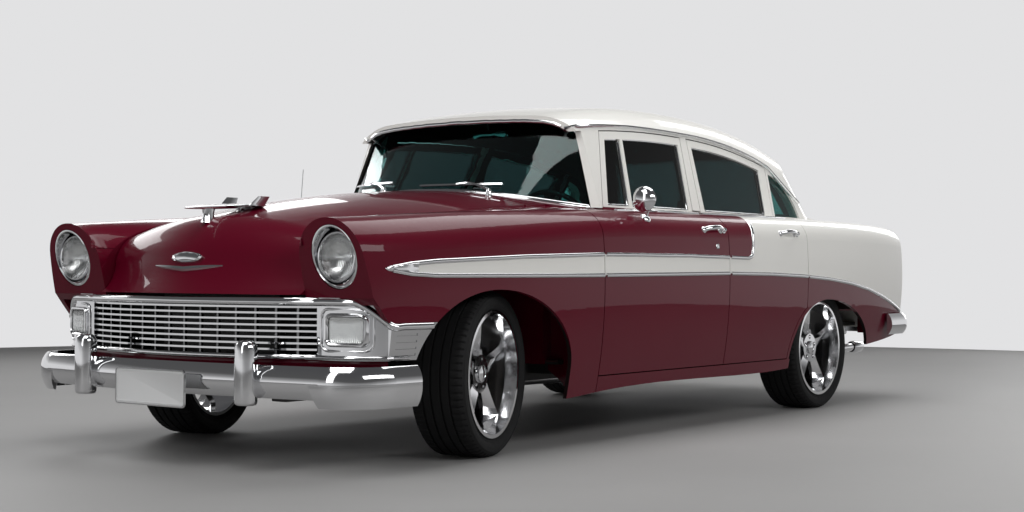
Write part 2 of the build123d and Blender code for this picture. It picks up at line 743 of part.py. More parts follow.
with BuildPart() as chassis_frame:
    for side in (-1, 1):
        with BuildSketch(along(side * RAIL_Y - RAIL_WIDTH / 2)):
            with BuildLine():
                Polyline(
                    (RAIL_FRONT_X, RAIL_TOP), (-980, RAIL_TOP), (-1155, REAR_KICK_TOP),
                    (-1548, REAR_KICK_TOP), (-1708, RAIL_TAIL_TOP), (RAIL_REAR_X, RAIL_TAIL_TOP),
                    (RAIL_REAR_X, RAIL_TAIL_TOP - RAIL_HEIGHT), (-1725, RAIL_TAIL_TOP - RAIL_HEIGHT),
                    (-1588, REAR_KICK_TOP - RAIL_HEIGHT), (-1115, REAR_KICK_TOP - RAIL_HEIGHT),
                    (-945, RAIL_LOW), (RAIL_FRONT_X, RAIL_LOW), close=True,
                )
            make_face()
        extrude(amount=-RAIL_WIDTH)
    # Cross members: x, width, bottom z, height
    for x, width, z, height in (
        (2150, 70, 250, 70), (FRONT_CROSS_X, 150, 240, 85), (760, 80, 262, 60),
        (-560, 80, 262, 42), (-1480, 60, 440, 38), (-2200, 60, 330, 60),
    ):
        with BuildSketch(Plane.XY.offset(z)):
            with Locations((x, 0)):
                Rectangle(width, 2 * RAIL_Y)
        extrude(amount=height)
    # Spring hangers, then the arms that reach out to the sills
    for x, z, z_top in (
        (-790, SPRING_FRONT_Z + FIT, RAIL_TOP), (-1950, SPRING_REAR_Z + FIT, RAIL_TAIL_TOP)
    ):
        with BuildSketch(Plane.XY.offset(z)):
            for side in (-1, 1):
                with Locations((x, side * (RAIL_Y + SPRING_Y + 30) / 2)):
                    Rectangle(60, SPRING_Y + 30 - RAIL_Y)
        extrude(amount=z_top - z)
    for x in (700, -300):
        with BuildSketch(Plane.XY.offset(RAIL_TOP - 60)):
            for side in (-1, 1):
                with Locations((x, side * (RAIL_Y + POST_INNER_Y) / 2)):
                    Rectangle(80, POST_INNER_Y - RAIL_Y)
        extrude(amount=60)
    # Jacking pads
    with BuildSketch(Plane.XY.offset(RAIL_LOW - JACK_PAD_DEPTH)):
        for x in JACK_PAD_X:
            for side in (-1, 1):
                with Locations((x, side * RAIL_Y)):
                    Rectangle(90, 60)
    extrude(amount=JACK_PAD_DEPTH)
save("chassis_frame", chassis_frame.part)

FLOOR_SHEET = FLOOR_Z - RAIL_TOP
TRUNK_FLOOR_Z = RAIL_TAIL_TOP + FLOOR_SHEET
TUNNEL_RADIUS = 130
TUNNEL_REAR_X = -1115


def tunnel_form(radius):
    """The arch over the propeller shaft, from the firewall to the rear seat."""
    with BuildPart() as tunnel:
        with BuildSketch(across(FIREWALL_X + 18)):
            with Locations((0, RAIL_TOP)):
                Circle(radius)
                Rectangle(3 * radius, 2 * radius, align=(Align.CENTER, Align.MAX), mode=Mode.SUBTRACT)
        extrude(amount=TUNNEL_REAR_X - FIREWALL_X - 18)
    return tunnel.part


tunnel_outside = tunnel_form(TUNNEL_RADIUS)
tunnel_inside = tunnel_form(TUNNEL_RADIUS - FLOOR_SHEET)
with BuildPart() as floor_pan:
    with BuildSketch(Plane.XY.offset(RAIL_TOP)):
        with Locations(((FIREWALL_X - 880) / 2, 0)):
            Rectangle(FIREWALL_X + 880, 2 * FLOOR_HALF)
    extrude(amount=FLOOR_SHEET)
    with BuildSketch(along(-(WHEELHOUSE_Y - 12))):
        with BuildLine():
            Polyline(
                (-880, FLOOR_Z), (-970, FLOOR_Z), (-1150, 500), (-1560, 500), (-1716, TRUNK_FLOOR_Z),
                (TAIL_X + SKIN, TRUNK_FLOOR_Z), (TAIL_X + SKIN, RAIL_TAIL_TOP), (-1724, RAIL_TAIL_TOP),
                (-1567, 482), (-1140, 482), (-960, RAIL_TOP), (-880, RAIL_TOP), close=True,
            )
        make_face()
    extrude(amount=-2 * (WHEELHOUSE_Y - 12))
    add(tunnel_outside & Box(3000, 400, 900, align=(Align.MAX, Align.CENTER, Align.MIN), mode=Mode.PRIVATE)
        .moved(Location((FIREWALL_X, 0, RAIL_TOP))))
    add(tunnel_inside, mode=Mode.SUBTRACT)
    add(centre_post.part, mode=Mode.SUBTRACT)
    add(mirror(centre_post.part, about=Plane.XZ), mode=Mode.SUBTRACT)
save("floor_pan", floor_pan.part)

with BuildPart() as cowl:
    add(hood_form.part)
    add(hood_core, mode=Mode.SUBTRACT)
    with BuildSketch(Plane.XY):
        with BuildLine():
            step_x = HINGE_X_FRONT + PANEL_GAP
            edge = HOOD_REAR_HALF + PANEL_GAP
            Polyline(
                (600, -COWL_HALF), (step_x, -COWL_HALF), (step_x, -edge),
                (HOOD_REAR_X - PANEL_GAP, -edge), (HOOD_REAR_X - PANEL_GAP, edge),
                (step_x, edge), (step_x, COWL_HALF), (600, COWL_HALF), close=True,
            )
        make_face()
    extrude(amount=1300, mode=Mode.INTERSECT)
    firewall = Box(18, 2 * edge, 1000, align=(Align.MIN, Align.CENTER, Align.MIN), mode=Mode.PRIVATE)
    add(firewall.moved(Location((FIREWALL_X, 0, RAIL_TOP))) & hood_form.part - tunnel_inside)
    low_wall = Box(18, 2 * COWL_HALF, 560, align=(Align.MIN, Align.CENTER, Align.MIN), mode=Mode.PRIVATE)
    add(low_wall.moved(Location((FIREWALL_X, 0, RAIL_TOP))) - tunnel_inside)
    with BuildSketch(Plane.XY.offset(FLOOR_Z)):
        for side in (-1, 1):
            with Locations(((600 + FIREWALL_X + 18) / 2, side * (COWL_HALF - 9))):
                Rectangle(FIREWALL_X + 18 - 600, 18)
    extrude(amount=604)
    with BuildSketch(Plane.XY.offset(240)):
        for side in (-1, 1):
            with Locations((step_x + 30, side * (FLOOR_HALF + 856) / 2)):
                Rectangle(60, 856 - FLOOR_HALF)
    extrude(amount=650)
    with BuildSketch(Plane.XY.offset(FLOOR_Z)):
        for side in (-1, 1):
            with Locations((step_x + 30, side * (edge + 856) / 2)):
                Rectangle(60, 856 - edge)
    extrude(amount=542)
    for z in (450, 800):
        with BuildSketch(Plane.XY.offset(z)):
            for side in (-1, 1):
                with Locations((HINGE_X_FRONT + FIT, side * 820)):
                    Rectangle(PANEL_GAP - FIT, 60, align=(Align.MIN, Align.CENTER))
        extrude(amount=70)
    add(ledge(hood_core, HOOD_REAR_X - PANEL_GAP, 1, HOOD_REAR_HALF - 60))
save("cowl", cowl.part)

with BuildPart() as inner_fenders:
    for side in (-1, 1):
        with BuildSketch(along(side * 432 - 8)):
            with BuildLine():
                Polyline(
                    (FIREWALL_X + 18, RAIL_TOP), (FRONT_AXLE_X - 130, RAIL_TOP),
                    (FRONT_AXLE_X - 130, 570), (FRONT_AXLE_X + 130, 570),
                    (FRONT_AXLE_X + 130, RAIL_TOP), (2110, RAIL_TOP), (2110, 700), (1900, 850),
                    (FIREWALL_X + 18, 890), close=True,
                )
            make_face()
        extrude(amount=-16)
save("inner_fenders", inner_fenders.part)

# Engine and gearbox, radiator, tank
with BuildPart() as engine:
    with BuildSketch(across(1340)):
        with BuildLine():
            Polyline(
                (-150, 325), (150, 325), (250, 560), (270, 760), (150, 880), (-150, 880),
                (-270, 760), (-250, 560), close=True,
            )
        make_face()
    extrude(amount=560)
    with BuildSketch(across(1340)):
        with Locations((0, 470)):
            Circle(132)
    with BuildSketch(across(1020)):
        with Locations((0, 400)):
            Circle(62)
    loft()
save("engine", engine.part)

with BuildPart() as radiator:
    with BuildSketch(Plane.XY.offset(320)):
        with Locations((2150, 0)):
            Rectangle(60, 640)
    extrude(amount=480)
    with BuildSketch(Plane.XY.offset(800)):
        with Locations((2150, 0)):
            Rectangle(46, 560)
    extrude(amount=45)
save("radiator", radiator.part)

with BuildPart() as fuel_tank:
    with BuildSketch(Plane.XY.offset(240)):
        with Locations((-1900, 0)):
            RectangleRounded(480, 440, 40)
    extrude(amount=412 - 240)
    fillet(fuel_tank.edges().group_by(Axis.Z)[0], radius=30)
save("fuel_tank", fuel_tank.part)

# Bumpers: a bulged bar along a plan curve, its arms and its guards
BUMPER_HEIGHT = 118
BUMPER_BULGE = 24
BUMPER_BACK = 8


def bumper_bar(end_x, turn_x, corner_x, corner_y, z, flip=1, height=BUMPER_HEIGHT):
    """A bumper bar round one end of the car. flip is -1 at the rear."""
    with BuildPart() as bar:
        with BuildLine(Plane.XY.offset(z)) as route:
            end = Line((flip * end_x, 912), (flip * turn_x, 902))
            corner = TangentArc(end @ 1, (flip * corner_x, corner_y), tangent=end % 1)
            middle = TangentArc(corner @ 1, (flip * corner_x, -corner_y), tangent=corner % 1)
            far = TangentArc(middle @ 1, (flip * turn_x, -902), tangent=middle % 1)
            Line(far @ 1, (flip * end_x, -912))
        start = Plane(origin=end @ 0, x_dir=(0, 0, 1), z_dir=end % 0)
        with BuildSketch(start):
            with BuildLine():
                half = height / 2
                out = -flip
                ThreePointArc((-half, 0), (0, out * BUMPER_BULGE), (half, 0))
                Polyline((half, 0), (half, -out * BUMPER_BACK), (-half, -out * BUMPER_BACK), (-half, 0))
            make_face()
        sweep(path=route.line)
    return bar.part


FRONT_BUMPER = dict(end_x=2085, turn_x=2215, corner_x=2395, corner_y=739, z=BUMPER_Z)
REAR_BUMPER = dict(end_x=2085, turn_x=2300, corner_x=2440, corner_y=770, z=430, flip=-1)
GUARD_Y = 440
BUMPER_TIP_Y = 640
BUMPER_TIP_DROP = 28
GUARD_X = 2468


def guard(z, height):
    """An upright bumper guard with a domed top, about its own foot."""
    with BuildPart() as post:
        with BuildSketch(Plane.XY.offset(z)):
            Ellipse(40, 41)
        extrude(amount=height)
        fillet(post.edges().group_by(Axis.Z)[-1], radius=30)
        fillet(post.edges().group_by(Axis.Z)[0], radius=12)
    return post.part


def bumper_tips(**bar):
    """The deeper ends of a bumper bar, which reach lower than its middle."""
    bar["z"] -= BUMPER_TIP_DROP / 2
    deep = bumper_bar(**bar, height=BUMPER_HEIGHT + BUMPER_TIP_DROP)
    with BuildPart() as middle:
        with BuildSketch(across(-3000)):
            with BuildLine():
                Polyline(
                    (-BUMPER_TIP_Y - 110, 150), (-BUMPER_TIP_Y + 20, 600), (BUMPER_TIP_Y - 20, 600),
                    (BUMPER_TIP_Y + 110, 150), close=True,
                )
            make_face()
        extrude(amount=6000)
    return deep - middle.part


with BuildPart() as front_bumper:
    add(bumper_bar(**FRONT_BUMPER))
    add(bumper_tips(**FRONT_BUMPER))
    for side in (-1, 1):
        add(guard(238, 230).moved(Location((GUARD_X, side * GUARD_Y, 0))))
        with BuildSketch(across(RAIL_FRONT_X)):
            with Locations((side * RAIL_Y, BUMPER_Z - 30)):
                Rectangle(50, 55)
        extrude(amount=200)
save("front_bumper", front_bumper.part)

with BuildPart() as rear_bumper:
    add(bumper_bar(**REAR_BUMPER))
    for side in (-1, 1):
        add(guard(350, 213).moved(Location((-GUARD_X, side * GUARD_Y, 0))))
        with BuildSketch(across(RAIL_REAR_X)):
            with Locations((side * RAIL_Y, 365)):
                Rectangle(50, 70)
        extrude(amount=-200)
save("rear_bumper", rear_bumper.part)

# Grille: curved bars in a surround, with a wing panel round to each wheel opening
GRILLE_LOW_Z = 412
GRILLE_TOP_Z = 608
GRILLE_HALF = 620
GRILLE_END_X = 2290
GRILLE_BOW = 125
GRILLE_BARS = 8
GRILLE_UPRIGHTS = 14
RAIL_PROUD = 8
POD_X = 2268
FLUTES = 4
FLUTE_LOW_Z = 418
FLUTE_PITCH = 24
FLUTE_DEPTH = 3
PARK_Y = 735
PARK_Z = 506
PARK_HALF_Y = 80
PARK_HALF_Z = 60


def grille_band(depth, setback, z_low, z_high):
    """A strip along the grille's bow, of one depth from front to back."""
    with BuildPart() as band:
        with BuildSketch(Plane.XY.offset(z_low)):
            with BuildLine():
                front_x = GRILLE_END_X - setback
                back_x = front_x - depth
                front = ThreePointArc(
                    (front_x, -GRILLE_HALF), (front_x + GRILLE_BOW, 0), (front_x, GRILLE_HALF)
                )
                back = ThreePointArc(
                    (back_x, GRILLE_HALF), (back_x + GRILLE_BOW, 0), (back_x, -GRILLE_HALF)
                )
                Line(front @ 1, back @ 0)
                Line(back @ 1, front @ 0)
            make_face()
        extrude(amount=z_high - z_low)
    return band.part


bar_pitch = (GRILLE_TOP_Z - GRILLE_LOW_Z) / (GRILLE_BARS + 1)
uprights = grille_band(12, 14, GRILLE_LOW_Z, GRILLE_TOP_Z)
with BuildPart() as upright_combs:
    with BuildSketch(Plane.XY.offset(GRILLE_LOW_Z)):
        with Locations((GRILLE_END_X, 0)):
            with GridLocations(0, 2 * GRILLE_HALF / (GRILLE_UPRIGHTS + 1), 1, GRILLE_UPRIGHTS):
                Rectangle(400, 8)
    extrude(amount=GRILLE_TOP_Z - GRILLE_LOW_Z)


def grille_rail(z_low, z_high):
    """A rail of the surround with a rounded front."""
    with BuildPart() as rail:
        add(grille_band(44, -RAIL_PROUD, z_low, z_high))
        front_edges = rail.edges().filter_by(GeomType.CIRCLE).sort_by(Axis.X)[-2:]
        fillet(front_edges, radius=(z_high - z_low) * 0.42)
    return rail.part


with BuildPart() as flutes:
    with BuildSketch(along(800)):
        with Locations((2112, FLUTE_LOW_Z + (FLUTES - 1) * FLUTE_PITCH / 2)):
            with GridLocations(0, FLUTE_PITCH, 1, FLUTES):
                Rectangle(105, 8)
    extrude(amount=-200)
    add(flank.part.moved(Location((0, -FLUTE_DEPTH, 0))), mode=Mode.SUBTRACT)

wing_skin = (
    (flank.part - flank_core)
    & side_polygon(
        (1900, SURROUND_LOW_Z), (2192, SURROUND_LOW_Z), (2192, SURROUND_TOP_Z), (1900, SURROUND_TOP_Z)
    )
    & side_block(lambda: surround_line(FIT))
) - side_block(lambda: arch_line(*FRONT_ARCH))

# One end of the surround: the lamp's pod round the corner, and the fluted wing behind it
with BuildPart() as surround_end:
    with BuildSketch(Plane.XY.offset(SURROUND_LOW_Z)):
        with BuildLine():
            pod = ThreePointArc((GRILLE_END_X, GRILLE_HALF - 6), (POD_X, 748), (2188, 869))
            pod_in = ThreePointArc((2168, 852), (POD_X - 24, 736), (GRILLE_END_X - 34, GRILLE_HALF - 6))
            Line(pod @ 1, pod_in @ 0)
            Line(pod_in @ 1, pod @ 0)
        make_face()
    extrude(amount=SURROUND_TOP_Z - FIT - SURROUND_LOW_Z)
    add(wing_skin)
    add(fender.part, mode=Mode.SUBTRACT)
    add(flutes.part, mode=Mode.SUBTRACT)
    with BuildSketch(across(2100)):
        with Locations((PARK_Y, PARK_Z)):
            RectangleRounded(2 * PARK_HALF_Y, 2 * PARK_HALF_Z, 24)
    extrude(amount=300, mode=Mode.SUBTRACT)

# The room that the top rail leaves for the fender's front edge
fender_room = side_block(
    lambda: Polyline(
        (2100, WING_TOP_Z), (WING_BEND_X[0] + FIT, WING_TOP_Z), (WING_BEND_X[1] + FIT, SURROUND_TOP_Z),
        (WING_BEND_X[1] + FIT, 700), (2100, 700), close=True,
    ),
    y_low=hood_edge(2300) - FIT,
)
top_rail = grille_rail(GRILLE_TOP_Z - 8, SURROUND_TOP_Z) - fender_room
top_rail = top_rail - mirror(fender_room, about=Plane.XZ)

with BuildPart() as grille:
    add(uprights & upright_combs.part)
    for n in range(1, GRILLE_BARS + 1):
        z = GRILLE_LOW_Z + n * bar_pitch
        add(grille_band(16, 6, z - 3.5, z + 3.5))
    add(grille_rail(SURROUND_LOW_Z, GRILLE_LOW_Z + 4))
    add(top_rail)
    for side in (-1, 1):
        add(surround_end.part if side == 1 else mirror(surround_end.part, about=Plane.XZ))
        with BuildSketch(across(2180)):
            with Locations((side * 520, 440)):
                Rectangle(40, 60)
        extrude(amount=125)
        with BuildSketch(across(2180)):
            with Locations((side * 470, 440)):
                Rectangle(140, 60)
        extrude(amount=20)
save("grille", grille.part)

# Lamps: the headlamp turned about its own Y axis, its bezel cut to the rake of the nose
with BuildPart() as head_lamp:
    with BuildSketch(Plane.XY):
        with BuildLine():
            dome_arc = ThreePointArc((0, 34), (60, 24), (84, 6))
            Polyline(
                dome_arc @ 1, (89, 14), (LAMP_RADIUS, 10), (LAMP_RADIUS, -50), (70, -80), (0, -80),
                dome_arc @ 0,
            )
        make_face()
    revolve(axis=Axis.Y)
with BuildPart() as lamp_bezel:
    with BuildSketch(across(LAMP_X - 45)):
        with Locations((LAMP_Y, LAMP_Z)):
            Ellipse(LAMP_HOLE_Y - FIT, LAMP_HOLE_Z - FIT)
    extrude(amount=120)
    split(bisect_by=Plane(origin=(2352 - BEZEL_SETBACK, 0, 903), z_dir=nose_normal), keep=Keep.BOTTOM)
    with BuildSketch(across(LAMP_X - 6)):
        with Locations((LAMP_Y, LAMP_Z)):
            Circle(LAMP_RADIUS - 1)
    with BuildSketch(across(LAMP_X + 54)):
        with Locations((LAMP_Y, LAMP_Z)):
            Circle(LAMP_RADIUS + 16)
    loft(mode=Mode.SUBTRACT)
with BuildPart() as park_lamp:
    with BuildSketch(across(PARK_X - 46)):
        with Locations((PARK_Y, PARK_Z)):
            RectangleRounded(2 * (PARK_HALF_Y - FIT), 2 * (PARK_HALF_Z - FIT), 24 - FIT)
    extrude(amount=46)
    with BuildSketch(across(PARK_X)):
        with Locations((PARK_Y, PARK_Z)):
            RectangleRounded(2 * (PARK_HALF_Y - FIT), 2 * (PARK_HALF_Z - FIT), 24 - FIT)
    extrude(amount=9, taper=40)
lamp_place = Location((LAMP_X, LAMP_Y, LAMP_Z), (0, 0, -90))
whole_lamp = head_lamp.part.moved(lamp_place) + lamp_bezel.part
lamps = [whole_lamp.solids()[0], park_lamp.part.solids()[0]]
lamps += [mirror(lamp, about=Plane.XZ).solids()[0] for lamp in lamps]
front_lamps = Compound(lamps)
save("front_lamps", front_lamps)

TAIL_LAMP_Y = 740
TAIL_LAMP_Z = 830
TAIL_LAMP_DEPTH = 45
with BuildPart() as tail_lamp:
    with BuildSketch(across(TAIL_X)):
        with Locations((TAIL_LAMP_Y, TAIL_LAMP_Z)):
            Ellipse(48, 105)
    with BuildSketch(across(TAIL_X - TAIL_LAMP_DEPTH)):
        with Locations((TAIL_LAMP_Y, TAIL_LAMP_Z)):
            Ellipse(36, 88)
    loft()
tail_lamps = Compound([tail_lamp.part.solids()[0], mirror(tail_lamp.part, about=Plane.XZ).solids()[0]])
save("tail_lamps", tail_lamps)

# Wheels, each built about its own axle: centre at the origin, outside towards +Y
BEAD_Y = 86
with BuildPart() as tyre:
    with BuildSketch(Plane.XY):
        with BuildLine():
            inner = Line((RIM_RADIUS + FIT, -BEAD_Y), (RIM_RADIUS + FIT, BEAD_Y))
            wall = ThreePointArc(inner @ 1, (285, TYRE_WIDTH / 2), (308, 106))
            tread_edge = TangentArc(wall @ 1, (TYRE_RADIUS, 88), tangent=wall % 1)
            low_wall = ThreePointArc(inner @ 0, (285, -TYRE_WIDTH / 2), (308, -106))
            low_edge = TangentArc(low_wall @ 1, (TYRE_RADIUS, -88), tangent=low_wall % 1)
            Line(tread_edge @ 1, low_edge @ 1)
        make_face()
    revolve(axis=Axis.Y)

LIP_Y = RIM_DEPTH / 2
SPOKE_Y = 34
# Spoke stations: distance from the axle, width, thickness, place along the axle, twist
SPOKE_STATIONS = (
    (34, 66, 34, 24, 0),
    (125, 50, 28, 30, 22),
    (232, 78, 20, 24, 38),
)
LUG_CIRCLE = 57
LUG_RADIUS = 11

with BuildPart() as spoke:
    for distance, width, thickness, y, twist in SPOKE_STATIONS:
        with BuildSketch(Plane.XY.offset(distance)):
            with Locations((0, y)):
                Rectangle(width, thickness, rotation=twist)
    loft()

with BuildPart() as wheel:
    with BuildSketch(Plane.XY):
        rim_section = (
            (RIM_RADIUS, -BEAD_Y - 8), (RIM_RADIUS, LIP_Y - 8), (RIM_RADIUS + 8, LIP_Y - 6),
            (RIM_RADIUS + 8, LIP_Y), (RIM_RADIUS - 6, LIP_Y), (RIM_RADIUS - RIM_WALL, SPOKE_Y + 20),
            (RIM_RADIUS - RIM_WALL, -BEAD_Y - 8),
        )
        with BuildLine():
            Polyline(*rim_section, close=True)
        make_face()
    revolve(axis=Axis.Y)
    with BuildSketch(along(-12)):
        Circle(HUB_RADIUS)
    extrude(amount=-58)
    for n in range(SPOKES):
        add(spoke.part.rotate(Axis.Y, n * 360 / SPOKES))
    with BuildSketch(along(30)):
        with PolarLocations(LUG_CIRCLE, SPOKES, start_angle=90):
            Circle(LUG_RADIUS)
    extrude(amount=-40, mode=Mode.SUBTRACT)
    with BuildSketch(along(46)):
        Circle(34)
    extrude(amount=-8)
    with BuildSketch(along(-20)):
        Circle(SPINDLE_RADIUS + FIT)
    extrude(amount=-60, mode=Mode.SUBTRACT)

# Knuckle of the steered wheels, in the wheel's own place
KINGPIN_LOW_Z = 225
KINGPIN_TOP_Z = 435
KINGPIN_BACK = KINGPIN_Y - WHEEL_Y
with BuildPart() as knuckle:
    with BuildSketch(Plane.XY.offset(KINGPIN_LOW_Z - 14 - TYRE_RADIUS)):
        with Locations((0, KINGPIN_BACK)):
            Circle(KINGPIN_RADIUS)
    extrude(amount=KINGPIN_TOP_Z - KINGPIN_LOW_Z + 28)
    with BuildSketch(Plane.XY.offset(KINGPIN_LOW_Z + 24 - TYRE_RADIUS)):
        with Locations((0, KINGPIN_BACK)):
            Rectangle(60, 44)
    extrude(amount=KINGPIN_TOP_Z - KINGPIN_LOW_Z - 48)
    with BuildSketch(along(KINGPIN_BACK + 45)):
        Circle(DRUM_RADIUS)
    extrude(amount=-36)
    with BuildSketch(along(KINGPIN_BACK)):
        Circle(SPINDLE_RADIUS)
    extrude(amount=KINGPIN_BACK - 38)

steer = Location((FRONT_AXLE_X, KINGPIN_Y, TYRE_RADIUS), (0, 0, STEER_AT_REST))
left_front = steer * Location((0, -KINGPIN_BACK, 0))
steer_right = Location((FRONT_AXLE_X, -KINGPIN_Y, TYRE_RADIUS), (0, 0, STEER_AT_REST))
right_front = steer_right * Location((0, KINGPIN_BACK, 0))
left_rear = Location((REAR_AXLE_X, WHEEL_Y, TYRE_RADIUS))
right_rear = Location((REAR_AXLE_X, -WHEEL_Y, TYRE_RADIUS))
for name, place in (
    ("left_front", left_front), ("right_front", right_front),
    ("left_rear", left_rear), ("right_rear", right_rear),
):
    for piece, part in (("wheel", wheel.part), ("tyre", tyre.part)):
        built = mirror(part, about=Plane.XZ) if name.startswith("right") else part
        save(f"{name}_{piece}", built.moved(place))
save("left_knuckle", knuckle.part.moved(left_front))
save("right_knuckle", mirror(knuckle.part, about=Plane.XZ).moved(right_front))

# Front suspension: a lower and an upper arm each side, and a coil tower on the cross member
with BuildPart() as front_suspension:
    for side in (-1, 1):
        for z in (KINGPIN_LOW_Z, KINGPIN_TOP_Z):
            with BuildSketch(Plane.XY.offset(z - 12)):
                with BuildLine():
                    Polyline(
                        (FRONT_AXLE_X - 28, side * KINGPIN_Y),
                        (FRONT_AXLE_X + 28, side * KINGPIN_Y),
                        (FRONT_AXLE_X + 110, side * (RAIL_Y + RAIL_WIDTH / 2)),
                        (FRONT_AXLE_X - 110, side * (RAIL_Y + RAIL_WIDTH / 2)),
                        close=True,
                    )
                make_face()
                with Locations((FRONT_AXLE_X, side * KINGPIN_Y)):
                    Circle(28)
                    Circle(KINGPIN_RADIUS + FIT, mode=Mode.SUBTRACT)
            extrude(amount=24)
        with BuildSketch(Plane.XY.offset(KINGPIN_LOW_Z)):
            with Locations((FRONT_AXLE_X, side * 500)):
                Circle(48)
        extrude(amount=320)
        with BuildSketch(Plane.XY.offset(KINGPIN_LOW_Z)):
            with Locations((FRONT_AXLE_X, side * (RAIL_Y + RAIL_WIDTH / 2 + 12))):
                Rectangle(160, 24)
        extrude(amount=KINGPIN_TOP_Z - KINGPIN_LOW_Z)
save("front_suspension", front_suspension.part)

# Rear axle with drums, differential, propeller shaft and leaf springs
LEAF_DEPTH = 24
with BuildPart() as rear_axle:
    with BuildSketch(along(-(WHEEL_Y - 62))):
        with Locations((REAR_AXLE_X, TYRE_RADIUS)):
            Circle(40)
    extrude(amount=-2 * (WHEEL_Y - 62))
    for side in (-1, 1):
        with BuildSketch(along(side * (WHEEL_Y - 80))):
            with Locations((REAR_AXLE_X, TYRE_RADIUS)):
                Circle(DRUM_RADIUS)
        extrude(amount=-side * 50)
        with BuildSketch(along(side * (WHEEL_Y - 40))):
            with Locations((REAR_AXLE_X, TYRE_RADIUS)):
                Circle(SPINDLE_RADIUS)
        extrude(amount=-side * 78)
        with BuildSketch(along(side * SPRING_Y - 28)):
            with BuildLine():
                leaf_top = ThreePointArc(
                    (-800, SPRING_FRONT_Z), (REAR_AXLE_X, 284), (-1950, SPRING_REAR_Z)
                )
                leaf_low = ThreePointArc(
                    (-1950, SPRING_REAR_Z - LEAF_DEPTH), (REAR_AXLE_X, 246),
                    (-800, SPRING_FRONT_Z - LEAF_DEPTH),
                )
                Line(leaf_top @ 1, leaf_low @ 0)
                Line(leaf_low @ 1, leaf_top @ 0)
            make_face()
        extrude(amount=-56)
    with BuildSketch(Plane.XY.offset(TYRE_RADIUS)):
        with Locations((REAR_AXLE_X, 0)):
            Ellipse(150, 120)
            Rectangle(400, 400, align=(Align.CENTER, Align.MIN), mode=Mode.SUBTRACT)
    revolve(axis=Axis(origin=(REAR_AXLE_X, 0, TYRE_RADIUS), direction=(1, 0, 0)))
    with BuildSketch(across(REAR_AXLE_X)):
        with Locations((0, TYRE_RADIUS)):
            Circle(32)
    with BuildSketch(across(1020)):
        with Locations((0, 392)):
            Circle(32)
    loft()
save("rear_axle", rear_axle.part)

# Exhaust
PIPE_Y = 240
with BuildPart() as exhaust:
    with BuildLine() as pipe_route:
        FilletPolyline(
            (1100, PIPE_Y, 225), (-950, PIPE_Y, 205), (-1140, PIPE_Y, 408), (-1560, PIPE_Y, 408),
            (-1720, 300, 270), (-1880, 300, 268), (-2100, 560, 272), (-2400, 560, 280),
            radius=70,
        )
    with BuildSketch(Plane(origin=pipe_route.line @ 0, z_dir=pipe_route.line % 0)):
        Circle(25)
    sweep()
    with BuildSketch(across(-500)):
        with Locations((PIPE_Y, 212)):
            Ellipse(92, 52)
    extrude(amount=620)
    # Hangers from the frame rail
    for x in (-420, 60):
        with BuildSketch(across(x)):
            with Locations((PIPE_Y + 50, 242)):
                Rectangle(RAIL_Y - RAIL_WIDTH / 2 - FIT - PIPE_Y - 50, 12, align=(Align.MIN, Align.CENTER))
        extrude(amount=36)
save("exhaust", exhaust.part)

# Interior
SEAT_HALF = 600
with BuildPart() as front_seat:
    with BuildSketch(along(-SEAT_HALF)):
        with BuildLine():
            Polyline(
                (430, FLOOR_Z), (470, 600), (0, 560), (-120, 1000), (-220, 1000), (-130, 560),
                (-110, FLOOR_Z), close=True,
            )
        make_face()
    extrude(amount=-2 * SEAT_HALF)
    fillet(front_seat.edges().filter_by(Axis.Y), radius=24)
    add(tunnel_outside, mode=Mode.SUBTRACT)
save("front_seat", front_seat.part)

with BuildPart() as rear_seat:
    with BuildSketch(along(-(WHEELHOUSE_Y - 20))):
        with BuildLine():
            Polyline(
                (-460, FLOOR_Z), (-430, 590), (-900, 560), (-1040, 1000), (-1150, 1000), (-1150, 510),
                (-955, FLOOR_Z), close=True,
            )
        make_face()
    extrude(amount=-2 * (WHEELHOUSE_Y - 20))
    add(floor_pan.part, mode=Mode.SUBTRACT)
    add(tunnel_outside, mode=Mode.SUBTRACT)
save("rear_seat", rear_seat.part)

with BuildPart() as dashboard:
    with BuildSketch(along(-(COWL_HALF - 18))):
        with BuildLine():
            Polyline((600, 950), (560, 915), (600, 800), (720, 800), (720, 950), close=True)
        make_face()
    extrude(amount=-2 * (COWL_HALF - 18))
save("dashboard", dashboard.part)

WHEEL_TILT = 28
STEERING_RADIUS = 205
STEERING_CENTRE = (430, 370, 900)
with BuildPart() as steering_wheel:
    face_plane = Plane(
        origin=STEERING_CENTRE, x_dir=(0, 1, 0),
        z_dir=(-cos(radians(WHEEL_TILT)), 0, sin(radians(WHEEL_TILT))),
    )
    rim = Torus(STEERING_RADIUS, 12, mode=Mode.PRIVATE)
    add(rim.moved(face_plane.location))
    with BuildSketch(face_plane):
        Circle(52)
        Rectangle(400, 26)
        with Locations((0, -100)):
            Rectangle(26, 200)
    extrude(amount=8, both=True)
    with BuildSketch(face_plane):
        Circle(22)
    extrude(amount=-190)
    add(dashboard.part, mode=Mode.SUBTRACT)
save("steering_wheel", steering_wheel.part)
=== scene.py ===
import math

